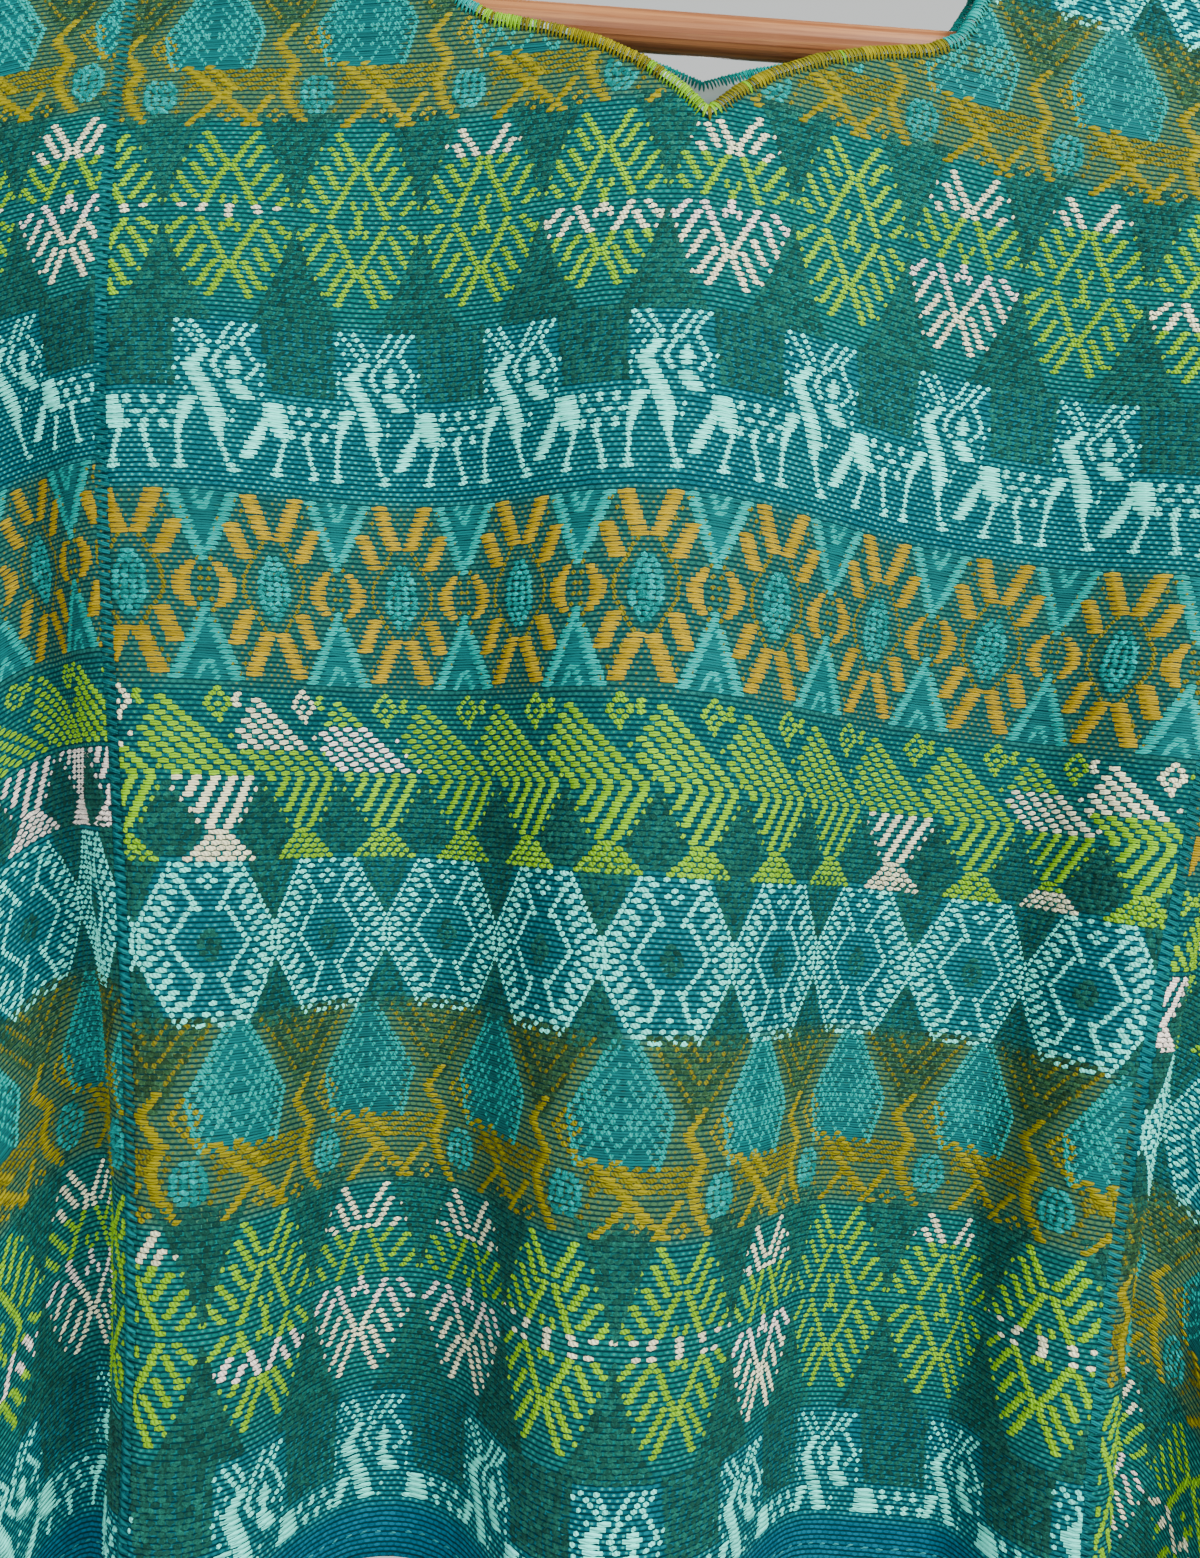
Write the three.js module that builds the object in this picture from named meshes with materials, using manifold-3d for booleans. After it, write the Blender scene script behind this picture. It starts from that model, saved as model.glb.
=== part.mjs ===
// A loom-woven huipil hanging on its wooden hanger. Millimetres, +Z up, front towards -Y.
// The origin is the inside top of the hook, where the hanger is held.
import * as THREE from "three";
import Module from "manifold-3d";

// ---- cloth, measured flat -----------------------------------------------------------
const HALF_WIDTH = 396; // half of the garment's flat width
const HALF_CENTRE = 208; // half of the centre panel
const LENGTH = 628; // shoulder fold to hem
const ARMHOLE = 210; // unsewn length below the fold
const WALL = 2;
const SEAM_GAP = 0.3; // between neighbouring pieces

// ---- hanger -------------------------------------------------------------------------
const WIRE = 3.6;
const HOOK_INSIDE = 20;
const ARM_THICK = 20;
const ARM_MIDDLE_THICK = 17; // the arms are thinner where the neck binding lies on them
const ARM_END = 236; // how far each arm reaches along the shoulder fold
const ARM_SLOPE = 0.21;
const SLOPE_REACH = 230; // distance at which an arm reaches that slope
const REST_GAP = 0.4; // cloth clear of the wood it rests on
const FOLD_RADIUS = ARM_THICK / 2 + REST_GAP + WALL / 2;
const FOLD_TOP = -98; // middle of the cloth over the hook's shank
const ARM_UNDER = 128; // underside at the middle, below the origin
const ARM_UNDER_DROP = 48; // how much lower the underside is at UNDER_REACH
const UNDER_REACH = 225;
const BAR_RADIUS = 7;
const BAR_HALF = 221.7;
const BAR_Z = -161;

// ---- how the cloth hangs ------------------------------------------------------------
const ROW_STEP = 2; // spacing of the worked-out points along a row
const SLEEVE_START = 238; // the cloth leaves the arm here and falls
const SLEEVE_RUN = 44;
const SLEEVE_SLOPE = 0.74;
const LEVEL_DEPTH = 540; // rows are level again this far down
const FOLDS_START = 60;
const FOLDS_FULL = 600;
const FOLD_STRENGTH = 1.12;
const HEM_SHIFT = 9; // the hem hangs a little to the right
const LEVELLED = 0.9; // share of the arms' slope that the lower rows lose
const SLOPE_EASE = 0.2; // how the arms' slope builds up from the middle
const SLEEVE_EASE = 0.12; // how much flatter the sleeve's slope is at the hem
// Stand-off from the middle plane: [amount, distance over which it is reached].
const BELLY_TOP = [14.6, 90];
const BELLY_HEM = [16, LENGTH];
const SIDE_TOP = [8, 110];
const SIDE_HEM = [4, LENGTH];
const FRONT_RIDGE = 26; // the middle of the front is a ridge at the hem
const BACK_RIDGE = 2;
const SEWN_RUN = 100; // the armhole narrows to its foot over this length
const SIDE_ROUND = 42; // width over which a sewn side turns from front to back
const NEAREST = 6; // closest either sheet comes to the middle plane

// Columns: place across the cloth, strongest turn of the cloth from there to the next place.
// Places alternate, starting at the side seam, ridge then hollow.
const FRONT_FOLDS = [
  [-396, 0.7], [-332, 1.05], [-266, 1.15], [-200, 1.0], [-100, 0.88], [-12, 0.88],
  [132, 0.98], [205, 1.3], [266, 1.05], [330, 0.7], [396, 0],
];
const BACK_FOLDS = [
  [-396, 0.75], [-330, 1.1], [-255, 1.1], [-178, 0.95], [-62, 0.9], [40, 1.0],
  [118, 1.0], [196, 1.15], [268, 1.15], [336, 0.75], [396, 0],
];
// Columns: distance below the fold, half-width of the neck opening there.
const NECK_FRONT = [
  [26, 104], [42, 99], [56, 94], [66, 89], [73, 78], [79, 57], [86, 39], [95, 23], [105, 10], [115, 0],
];
const NECK_BACK = [
  [26, 103], [38, 97], [46, 90], [51, 78], [57, 57], [62, 38], [68, 20], [76, 0],
];
const NECK_SHOULDER = 108;

// Rows of the sheets, as distances below the fold.
const FOLD_STEPS = 5;
const UPPER_ROWS = [30, 46, 64, 84, 106, 132, 158, 184];
const LOWER_COUNT = 11;
const ROW_CLEAR = 12; // plain rows start this far below the neck's last one
const CENTRE_COLUMNS = 12; // in each half
const SIDE_COLUMNS = 12;

const SOFTNESS = 4; // how softly the nearest distance is kept

const clamp = (t) => Math.min(1, Math.max(0, t));
const ease = (t) => clamp(t) * clamp(t) * (3 - 2 * clamp(t));
const softFloor = (y, low) => low + SOFTNESS * Math.log1p(Math.exp((y - low) / SOFTNESS));

/** How strongly the folds are open at a distance below the shoulder. */
const foldGrowth = (d) => Math.sin((Math.PI / 2) * clamp((d - FOLDS_START) / (FOLDS_FULL - FOLDS_START)));

/** Turn of a row at place u, positive where it goes in towards the middle plane. */
function turnAt(u, folds) {
  let sign = -1;
  for (let k = 0; k + 1 < folds.length; k += 1, sign = -sign) {
    const [from, turn] = folds[k];
    const to = folds[k + 1][0];
    if (u >= from && u < to) return sign * turn * Math.sin((Math.PI * (u - from)) / (to - from));
  }
  return 0;
}

/** Downward slope of a row: along the arm, then off its end as the sleeve falls. */
function slopeAt(u, d) {
  const sleeve = ease((Math.abs(u) - SLEEVE_START) / SLEEVE_RUN);
  const level = 1 - LEVELLED * Math.sin((Math.PI / 2) * Math.min(1, d / LEVEL_DEPTH));
  const arm = ARM_SLOPE * Math.pow(Math.abs(u) / SLOPE_REACH, SLOPE_EASE) * (1 - sleeve);
  return level * arm + (1 - (SLEEVE_EASE * d) / LENGTH) * SLEEVE_SLOPE * sleeve;
}

/** One row of one sheet from the centre out, before the two sheets are joined at the sides. */
function looseRow(d, folds) {
  const half = Math.round(HALF_WIDTH / ROW_STEP);
  const row = Array.from({ length: 2 * half + 1 }, () => ({ x: 0, inward: 0, drop: 0 }));
  const growth = foldGrowth(d) * FOLD_STRENGTH;
  const rate = (u) => {
    const slope = slopeAt(u, d);
    const flat = Math.sqrt(1 - slope * slope);
    const turn = turnAt(u, folds) * growth;
    return [flat * Math.cos(turn), flat * Math.sin(turn), slope];
  };
  for (const way of [-1, 1]) {
    let last = rate(0);
    for (let i = 1; i <= half; i += 1) {
      const next = rate(way * i * ROW_STEP);
      const from = row[half + way * (i - 1)];
      row[half + way * i] = {
        x: from.x + (way * ROW_STEP * (last[0] + next[0])) / 2,
        inward: from.inward + (way * ROW_STEP * (last[1] + next[1])) / 2,
        drop: from.drop + (ROW_STEP * (last[2] + next[2])) / 2,
      };
      last = next;
    }
  }
  return row;
}

/** Front and back rows at distance d below the fold, as lists of points ROW_STEP apart. */
function hungRows(d) {
  const half = Math.round(HALF_WIDTH / ROW_STEP);
  const loose = [looseRow(d, FRONT_FOLDS), looseRow(d, BACK_FOLDS)];
  const growth = foldGrowth(d);
  const arc = (Math.PI / 2) * FOLD_RADIUS;
  const part = ([amount, reach]) => (amount * d) / reach;
  const belly = FOLD_RADIUS + BELLY_TOP[0] * (1 - Math.exp(-d / BELLY_TOP[1])) + part(BELLY_HEM);
  const sideStand = FOLD_RADIUS + SIDE_TOP[0] * ease(d / SIDE_TOP[1]) + part(SIDE_HEM);
  const nearest = (NEAREST * (1 + ease(d / ARMHOLE))) / 2;
  const sewn = ease((d - ARMHOLE + SEWN_RUN) / SEWN_RUN);
  return loose.map((row, sheet) => {
    const facing = sheet === 0 ? -1 : 1;
    const centre = belly + (sheet === 0 ? FRONT_RIDGE : BACK_RIDGE) * growth;
    return row.map((point, i) => {
      const share = Math.abs(i - half) / half;
      const end = i < half ? 0 : 2 * half;
      const meet = (loose[0][end].x + loose[1][end].x) / 2 - row[end].x;
      const x = point.x + meet * share * share + (HEM_SHIFT * d) / LENGTH;
      const lift = sideStand - (centre - row[end].inward);
      let out = softFloor(centre - point.inward + lift * Math.pow(share, 1.5), nearest);
      if (d < 2 * FOLD_RADIUS) out = Math.max(out, FOLD_RADIUS);
      const round = clamp((share * HALF_WIDTH - HALF_WIDTH + SIDE_ROUND) / SIDE_ROUND);
      out *= 1 - (1 - Math.sqrt(Math.max(0, 1 - round * round))) * sewn;
      const turned = Math.min(d / FOLD_RADIUS, Math.PI / 2);
      if (d < arc) out = FOLD_RADIUS * Math.sin(turned);
      const down = FOLD_RADIUS * (1 - Math.cos(turned)) + Math.max(0, d - arc);
      return new THREE.Vector3(x, facing * out, FOLD_TOP - point.drop - down);
    });
  });
}

const rowStore = new Map();

/** Middle of the cloth at place u across and s along: s < 0 on the front, s > 0 on the back. */
function clothPoint(u, s) {
  const d = Math.abs(s);
  const key = d.toFixed(3);
  if (!rowStore.has(key)) rowStore.set(key, hungRows(d));
  const row = rowStore.get(key)[s <= 0 ? 0 : 1];
  const at = (Math.min(HALF_WIDTH, Math.max(-HALF_WIDTH, u)) + HALF_WIDTH) / ROW_STEP;
  const i = Math.min(row.length - 2, Math.floor(at));
  return row[i].clone().lerp(row[i + 1], at - i);
}

/** Outward unit normal of the cloth at (u, s). */
function clothNormal(u, s) {
  const across = clothPoint(u + 1, s).sub(clothPoint(u - 1, s));
  const along = clothPoint(u, s + 1).sub(clothPoint(u, s - 1));
  return across.cross(along).normalize();
}

/** Rows of a sheet from the front hem, over the fold, to the back hem. */
function rowPlaces(frontExtra, backExtra) {
  const arc = (Math.PI / 2) * FOLD_RADIUS;
  const fold = Array.from({ length: FOLD_STEPS }, (_, k) => ((k + 1) * arc) / FOLD_STEPS);
  const fall = (LENGTH - ARMHOLE) / LOWER_COUNT;
  const lower = Array.from({ length: LOWER_COUNT + 1 }, (_, k) => ARMHOLE + k * fall);
  const side = (extra) => {
    const deepest = extra.length ? extra[extra.length - 1] : 0;
    const plain = UPPER_ROWS.filter((d) => d > deepest + ROW_CLEAR || !extra.length);
    return [...fold, ...extra, ...plain, ...lower];
  };
  return [...side(frontExtra).reverse().map((d) => -d), 0, ...side(backExtra)];
}

const LEAST_FACING = 0.5; // keeps a sharp corner's points from running away

/**
 * A closed wall from a middle surface: points keyed by name, faces as triples of names.
 * Names in `normals` are moved out along the normal given there, so two panels meet square.
 */
function wallFrom(points, faces, normals) {
  const names = [...points.keys()];
  const index = new Map(names.map((name, i) => [name, i]));
  const tris = faces.map((face) => face.map((name) => index.get(name)));
  const middle = names.map((name) => points.get(name));
  const sums = middle.map(() => new THREE.Vector3());
  const around = middle.map(() => []);
  for (const tri of tris) {
    const [a, b, c] = tri.map((i) => middle[i]);
    const normal = b.clone().sub(a).cross(c.clone().sub(a)).normalize();
    tri.forEach((i, k) => {
      const to = middle[tri[(k + 1) % 3]].clone().sub(middle[i]);
      const from = middle[tri[(k + 2) % 3]].clone().sub(middle[i]);
      const angle = to.angleTo(from);
      sums[i].addScaledVector(normal, angle);
      around[i].push([normal, angle]);
    });
  }
  const position = [];
  const step = middle.map((_, i) => {
    const normal = (normals.get(names[i]) ?? sums[i]).clone().normalize();
    let total = 0;
    let facing = 0;
    for (const [face, angle] of around[i]) {
      total += angle;
      facing += angle * normal.dot(face);
    }
    return normal.multiplyScalar(WALL / 2 / Math.max(LEAST_FACING, facing / total));
  });
  for (const side of [1, -1]) {
    middle.forEach((p, i) => position.push(...p.clone().addScaledVector(step[i], side).toArray()));
  }
  const count = middle.length;
  const open = new Map();
  for (const tri of tris) {
    tri.forEach((i, k) => {
      const j = tri[(k + 1) % 3];
      if (!open.delete(`${j}/${i}`)) open.set(`${i}/${j}`, [i, j]);
    });
  }
  const indices = [];
  for (const [a, b, c] of tris) indices.push(a, b, c, c + count, b + count, a + count);
  for (const [i, j] of open.values()) indices.push(j, i, i + count, j, i + count, j + count);
  return solid(position, indices);
}

function solid(position, indices) {
  const geometry = new THREE.BufferGeometry();
  geometry.setAttribute("position", new THREE.Float32BufferAttribute(position, 3));
  geometry.setIndex(indices);
  geometry.computeVertexNormals();
  return geometry;
}

/** Two triangles of a cell, wound outward; a cell that closes to a point gives one or none. */
function cell(faces, a, b, c, d) {
  if (a !== b && b !== c && a !== c) faces.push([a, b, c]);
  if (a !== c && c !== d && a !== d) faces.push([a, c, d]);
}

/** Half-width of the neck opening at s. */
function neckHalf(s) {
  const table = s < 0 ? NECK_FRONT : NECK_BACK;
  const d = Math.abs(s);
  if (d >= table[table.length - 1][0]) return 0;
  let last = [0, NECK_SHOULDER];
  for (const next of table) {
    if (d <= next[0]) return last[1] + ((next[1] - last[1]) * (d - last[0])) / (next[0] - last[0]);
    last = next;
  }
  return 0;
}

function centrePanel() {
  const rows = rowPlaces(NECK_FRONT.map(([d]) => d), NECK_BACK.map(([d]) => d));
  const points = new Map();
  const normals = new Map();
  const faces = [];
  const edge = HALF_CENTRE - SEAM_GAP / 2;
  const name = (way, i, j) => {
    const inner = neckHalf(rows[j]);
    const key = i === 0 && inner === 0 ? `middle ${j}` : `${way} ${i} ${j}`;
    const u = inner + ((edge - inner) * i) / CENTRE_COLUMNS;
    if (!points.has(key)) points.set(key, clothPoint(way * u, rows[j]));
    if (i === CENTRE_COLUMNS) normals.set(key, clothNormal(way * HALF_CENTRE, rows[j]));
    return key;
  };
  for (const way of [-1, 1]) {
    for (let j = 0; j + 1 < rows.length; j += 1) {
      for (let i = 0; i < CENTRE_COLUMNS; i += 1) {
        const corners = [name(way, i, j), name(way, i + 1, j), name(way, i + 1, j + 1), name(way, i, j + 1)];
        if (way > 0) cell(faces, ...corners);
        else cell(faces, corners[1], corners[0], corners[3], corners[2]);
      }
    }
  }
  return wallFrom(points, faces, normals);
}

function sidePanel(way) {
  const rows = rowPlaces([], []);
  const points = new Map();
  const normals = new Map();
  const faces = [];
  const edge = HALF_CENTRE + SEAM_GAP / 2;
  const name = (i, j) => {
    const sewn = i === SIDE_COLUMNS && Math.abs(rows[j]) >= ARMHOLE;
    const key = sewn ? `seam ${Math.abs(rows[j]).toFixed(2)}` : `${i} ${j}`;
    const u = edge + ((HALF_WIDTH - edge) * i) / SIDE_COLUMNS;
    if (!points.has(key)) points.set(key, clothPoint(way * u, rows[j]));
    if (i === 0) normals.set(key, clothNormal(way * HALF_CENTRE, rows[j]));
    return key;
  };
  for (let j = 0; j + 1 < rows.length; j += 1) {
    for (let i = 0; i < SIDE_COLUMNS; i += 1) {
      const corners = [name(i, j), name(i + 1, j), name(i + 1, j + 1), name(i, j + 1)];
      if (way > 0) cell(faces, ...corners);
      else cell(faces, corners[1], corners[0], corners[3], corners[2]);
    }
  }
  return wallFrom(points, faces, normals);
}

// Binding ribbon: how far it reaches onto the outside and the inside, and its thickness.
const RIBBON_OUT = 4;
const RIBBON_IN = 8;
const RIBBON = 0.8;
const RIBBON_GAP = 0.6;
const SHARPEST_MITRE = 0.6;

/** Points round the neck opening, as [u, s] pairs, the same points as the cloth's cut edge. */
function neckOutline() {
  const rows = rowPlaces(NECK_FRONT.map(([d]) => d), NECK_BACK.map(([d]) => d));
  const inside = rows.filter((s) => neckHalf(s) > 0);
  const front = -NECK_FRONT[NECK_FRONT.length - 1][0];
  const back = NECK_BACK[NECK_BACK.length - 1][0];
  return [
    [0, front], ...inside.map((s) => [neckHalf(s), s]),
    [0, back], ...[...inside].reverse().map((s) => [-neckHalf(s), s]),
  ];
}

function neckBinding() {
  const outline = neckOutline();
  const face = WALL / 2 + RIBBON_GAP;
  const section = [
    [RIBBON_IN, -face], [-RIBBON_GAP, -face], [-RIBBON_GAP, face], [RIBBON_OUT, face],
    [RIBBON_OUT, face + RIBBON], [-RIBBON_GAP - RIBBON, face + RIBBON],
    [-RIBBON_GAP - RIBBON, -face - RIBBON], [RIBBON_IN, -face - RIBBON],
  ];
  const position = [];
  outline.forEach(([u, s], k) => {
    const before = outline[(k + outline.length - 1) % outline.length];
    const after = outline[(k + 1) % outline.length];
    const toEdge = new THREE.Vector2(u - before[0], s - before[1]).normalize();
    const fromEdge = new THREE.Vector2(after[0] - u, after[1] - s).normalize();
    const run = toEdge.clone().add(fromEdge).normalize();
    const mitre = 1 / Math.max(SHARPEST_MITRE, run.dot(toEdge));
    const into = [run.y * mitre, -run.x * mitre];
    for (const [reach, out] of section) {
      const atU = u + into[0] * Math.max(0, reach);
      const atS = s + into[1] * Math.max(0, reach);
      const p = clothPoint(atU, atS).addScaledVector(clothNormal(atU, atS), out);
      if (reach < 0) {
        const inward = clothPoint(u, s).sub(clothPoint(u + into[0], s + into[1])).normalize();
        p.addScaledVector(inward, -reach * mitre);
      }
      position.push(...p.toArray());
    }
  });
  const indices = [];
  const around = section.length;
  for (let k = 0; k < outline.length; k += 1) {
    for (let i = 0; i < around; i += 1) {
      const a = k * around + i;
      const b = k * around + ((i + 1) % around);
      const c = ((k + 1) % outline.length) * around + ((i + 1) % around);
      const d = ((k + 1) % outline.length) * around + i;
      indices.push(a, c, b, a, d, c);
    }
  }
  return solid(position, indices);
}

/** Closed sweep of equal-length rings of points, capped at both ends. */
function sweep(rings) {
  const position = rings.flat().flatMap((p) => p.toArray());
  const n = rings[0].length;
  const indices = [];
  for (let k = 0; k + 1 < rings.length; k += 1) {
    for (let i = 0; i < n; i += 1) {
      const j = (i + 1) % n;
      indices.push(k * n + i, k * n + j, (k + 1) * n + j, k * n + i, (k + 1) * n + j, (k + 1) * n + i);
    }
  }
  const last = (rings.length - 1) * n;
  for (let i = 1; i + 1 < n; i += 1) indices.push(0, i + 1, i, last, last + i, last + i + 1);
  return solid(position, indices);
}

const ARC_STEPS = 6;
const ARM_STATIONS = 10; // in each arm
const MIDDLE_REACH = 122; // the arms are at their middle thickness up to here
const MIDDLE_RUN = 30;
const TIP_WIDTH = 0.12; // square of the share of the thickness left at an arm's very end
const TIP_HEIGHT = 0.4; // share of the height left there
const TIP_STATIONS = [7, 4, 1.5, 0]; // distances from an arm's end
const TIP_CLEAR = 10;
const HOLE_GAP = 0.3;
const SOCKET_DEPTH = 20;
const HOLE_SIDES = 32;
const SOCKET_SIDES = 20;

/** One vertical section through the arms at place u along the fold. */
function armSection(u) {
  const top = clothPoint(u, 0);
  const x = top.x;
  const axis = top.z - FOLD_RADIUS;
  const fuller = ease((Math.abs(u) - MIDDLE_REACH) / MIDDLE_RUN);
  const thick = ARM_MIDDLE_THICK + (ARM_THICK - ARM_MIDDLE_THICK) * fuller;
  const radius = thick / 2;
  const nearEnd = clamp((Math.abs(u) - ARM_END + radius) / radius);
  const round = Math.sqrt(Math.max(TIP_WIDTH, 1 - nearEnd * nearEnd));
  const tall = TIP_HEIGHT + (1 - TIP_HEIGHT) * round;
  const under = -ARM_UNDER - ARM_UNDER_DROP * Math.pow(x / UNDER_REACH, 2) + radius;
  const middle = (axis + under) / 2;
  const ring = [];
  for (const [centre, start] of [[axis, 0], [under, Math.PI]]) {
    for (let k = 0; k <= ARC_STEPS; k += 1) {
      const a = start + (Math.PI * k) / ARC_STEPS;
      const z = centre + radius * Math.sin(a);
      const y = radius * Math.cos(a) * round;
      ring.push(new THREE.Vector3(x, y, middle + (z - middle) * tall));
    }
  }
  return ring;
}

function armsBlank() {
  const places = [];
  const step = (ARM_END - TIP_CLEAR) / ARM_STATIONS;
  for (let k = -ARM_STATIONS; k <= ARM_STATIONS; k += 1) places.push(k * step);
  const tips = TIP_STATIONS.map((back) => ARM_END - back);
  return sweep([...tips.map((u) => -u).reverse(), ...places, ...tips].map(armSection));
}

const BAR_CHAMFER = 1;
const BAR_SIDES = 24;

function bar(radius, half) {
  const profile = [[0, -half], [radius - BAR_CHAMFER, -half], [radius, -half + BAR_CHAMFER],
    [radius, half - BAR_CHAMFER], [radius - BAR_CHAMFER, half], [0, half]];
  const geometry = new THREE.LatheGeometry(profile.map(([r, z]) => new THREE.Vector2(r, z)), BAR_SIDES);
  return geometry.rotateZ(-Math.PI / 2).translate(0, 0, BAR_Z);
}

const HOOK_FROM = 1.12; // where the crook starts, in half turns from +X
const HOOK_TURN = 1.42; // how far it goes round, in half turns
const HOOK_POINTS = 24;
const HOOK_STEPS = 48;
const WIRE_SEGMENTS = 5;
const HOOK_NECK = [[5.2, -42.6], [1, -48.5], [0, -56]]; // [x, z] from the crook to the shank

/** Round wire bent to a hook, its shank let into the middle of the arms. */
function hook() {
  const bend = HOOK_INSIDE + WIRE / 2;
  const at = (x, z) => new THREE.Vector3(x, 0, z);
  const crook = [];
  for (let k = 0; k <= HOOK_POINTS; k += 1) {
    const angle = Math.PI * (HOOK_FROM - (HOOK_TURN * k) / HOOK_POINTS);
    crook.push(at(bend * Math.cos(angle), -HOOK_INSIDE + bend * Math.sin(angle)));
  }
  const neck = HOOK_NECK.map(([x, z]) => at(x, z));
  const foot = at(0, FOLD_TOP - SOCKET_DEPTH);
  const extrudePath = new THREE.CurvePath();
  extrudePath.add(new THREE.CatmullRomCurve3([...crook, ...neck, foot]));
  const round = new THREE.Shape().absarc(0, 0, WIRE / 2, 0, 2 * Math.PI);
  const settings = { extrudePath, steps: HOOK_STEPS, curveSegments: WIRE_SEGMENTS, bevelEnabled: false };
  return new THREE.ExtrudeGeometry(round, settings);
}

/** The arms with the bar's holes and the hook's socket cut in them. */
async function arms() {
  const wasm = await Module();
  wasm.setup();
  const { Manifold, Mesh } = wasm;
  const toManifold = (geometry) => {
    const vertProperties = Float32Array.from(geometry.getAttribute("position").array);
    const triVerts = Uint32Array.from(geometry.index.array);
    const mesh = new Mesh({ numProp: 3, vertProperties, triVerts });
    mesh.merge();
    return new Manifold(mesh);
  };
  const holeRadius = BAR_RADIUS + HOLE_GAP;
  const hole = Manifold.cylinder(2 * (BAR_HALF + HOLE_GAP), holeRadius, holeRadius, HOLE_SIDES, true)
    .rotate([0, 90, 0]).translate([0, 0, BAR_Z]);
  const deep = FOLD_TOP - SOCKET_DEPTH - HOLE_GAP;
  const wireRadius = WIRE / 2 + HOLE_GAP;
  const socket = Manifold.cylinder(-deep, wireRadius, wireRadius, SOCKET_SIDES).translate([0, 0, deep]);
  const cut = toManifold(armsBlank()).subtract(hole).subtract(socket).getMesh();
  return solid(Array.from(cut.vertProperties), Array.from(cut.triVerts));
}

function piece(name, geometry, look) {
  const mesh = new THREE.Mesh(geometry, new THREE.MeshStandardMaterial(look));
  mesh.name = name;
  return mesh;
}

const garment = new THREE.Group();
garment.name = "huipil_on_hanger";
garment.add(
  piece("centre_panel", centrePanel(), { color: 0x0b6a72, roughness: 0.9, metalness: 0 }),
  piece("side_panel_left", sidePanel(-1), { color: 0x0d6f75, roughness: 0.9, metalness: 0 }),
  piece("side_panel_right", sidePanel(1), { color: 0x0a656e, roughness: 0.9, metalness: 0 }),
  piece("neck_binding", neckBinding(), { color: 0xbfe4dc, roughness: 0.6, metalness: 0 }),
  piece("hanger_arms", await arms(), { color: 0x9a6a4a, roughness: 0.5, metalness: 0 }),
  piece("hanger_bar", bar(BAR_RADIUS, BAR_HALF), { color: 0x9c6f52, roughness: 0.5, metalness: 0 }),
  piece("hanger_hook", hook(), { color: 0xb8babd, roughness: 0.25, metalness: 1 }),
);

export default garment;
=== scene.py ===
"""A handwoven huipil on its wooden hanger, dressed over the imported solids.

The cloth hangs in the same folds as the solids. Its brocade is laid stitch by stitch on that
surface: every motif is a short chart of strokes, and every stroke becomes raised floats or knots.
Cloth is worked out in millimetres, measured flat, and turned into metres when a mesh is made.
"""

from __future__ import annotations

import logging
import math
from dataclasses import dataclass, field, replace
from enum import Enum

import bmesh
import bpy
import numpy as np
from mathutils import Matrix, Vector

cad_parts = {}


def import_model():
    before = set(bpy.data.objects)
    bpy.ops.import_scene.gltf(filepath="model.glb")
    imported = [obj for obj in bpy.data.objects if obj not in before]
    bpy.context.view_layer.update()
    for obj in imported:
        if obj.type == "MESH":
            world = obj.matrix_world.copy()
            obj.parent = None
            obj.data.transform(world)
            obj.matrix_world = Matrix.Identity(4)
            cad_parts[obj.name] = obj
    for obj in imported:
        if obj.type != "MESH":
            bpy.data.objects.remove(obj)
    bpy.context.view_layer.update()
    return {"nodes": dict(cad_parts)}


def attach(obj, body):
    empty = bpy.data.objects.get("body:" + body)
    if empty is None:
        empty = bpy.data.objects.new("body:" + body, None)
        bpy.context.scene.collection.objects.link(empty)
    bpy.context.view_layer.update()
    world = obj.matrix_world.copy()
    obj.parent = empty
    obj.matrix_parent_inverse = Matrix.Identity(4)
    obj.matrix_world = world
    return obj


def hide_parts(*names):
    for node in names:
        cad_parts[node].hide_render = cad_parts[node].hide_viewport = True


LOG = logging.getLogger("huipil")
MM = 0.001
PX = 0.35  # millimetres of cloth that one chart unit stands for
ROW_PX = 5.14  # chart units from one row of the front to the next
FAR = 400.0  # further down than any motif reaches, in chart units

Point = tuple[float, float]
Colour = tuple[float, float, float, float]
Triple = tuple[float, float, float]
Run = dict[str, np.ndarray]  # stitches, as arrays by name
Socket = bpy.types.NodeSocket
Object = bpy.types.Object
Material = bpy.types.Material


class Sheet(Enum):
    """The two sides of the garment; the value is the sign of the distance below the fold."""

    FRONT = -1
    BACK = 1


class Part(Enum):
    """How much of a face one piece of brocade covers; the values are distances below the fold."""

    WHOLE = (0.0, 700.0)
    UPPER = (0.0, 318.0)
    LOWER = (318.0, 700.0)


class Stitch(Enum):
    """How a yarn lies on the ground cloth."""

    FLOAT = 0
    KNOT = 1
    FILL = 2


@dataclass(frozen=True)
class Yarn:
    """A dyed yarn.

    Args:
        name: a plain colour word.
        rgb: its linear colour.
    """

    name: str
    rgb: Triple


MINT = Yarn("mint", (0.13, 0.85, 0.71))
BRIGHT_TURQUOISE = Yarn("bright turquoise", (0.0, 0.36, 0.34))
TURQUOISE = Yarn("turquoise", (0.0, 0.30, 0.27))
DEEP_TURQUOISE = Yarn("deep turquoise", (0.0, 0.105, 0.108))
PINE = Yarn("pine", (0.009, 0.112, 0.083))
LIME = Yarn("lime", (0.20, 0.44, 0.003))
CREAM = Yarn("cream", (0.80, 0.78, 0.52))
ROSE_WHITE = Yarn("rose white", (0.85, 0.74, 0.66))
GOLD = Yarn("gold", (0.33, 0.228, 0.006))
OCHRE = Yarn("ochre", (0.235, 0.205, 0.004))
DULL_OCHRE = Yarn("dull ochre", (0.150, 0.140, 0.006))
OLIVE = Yarn("olive", (0.15, 0.14, 0.008))
MOSS = Yarn("moss", (0.030, 0.100, 0.040))


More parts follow.
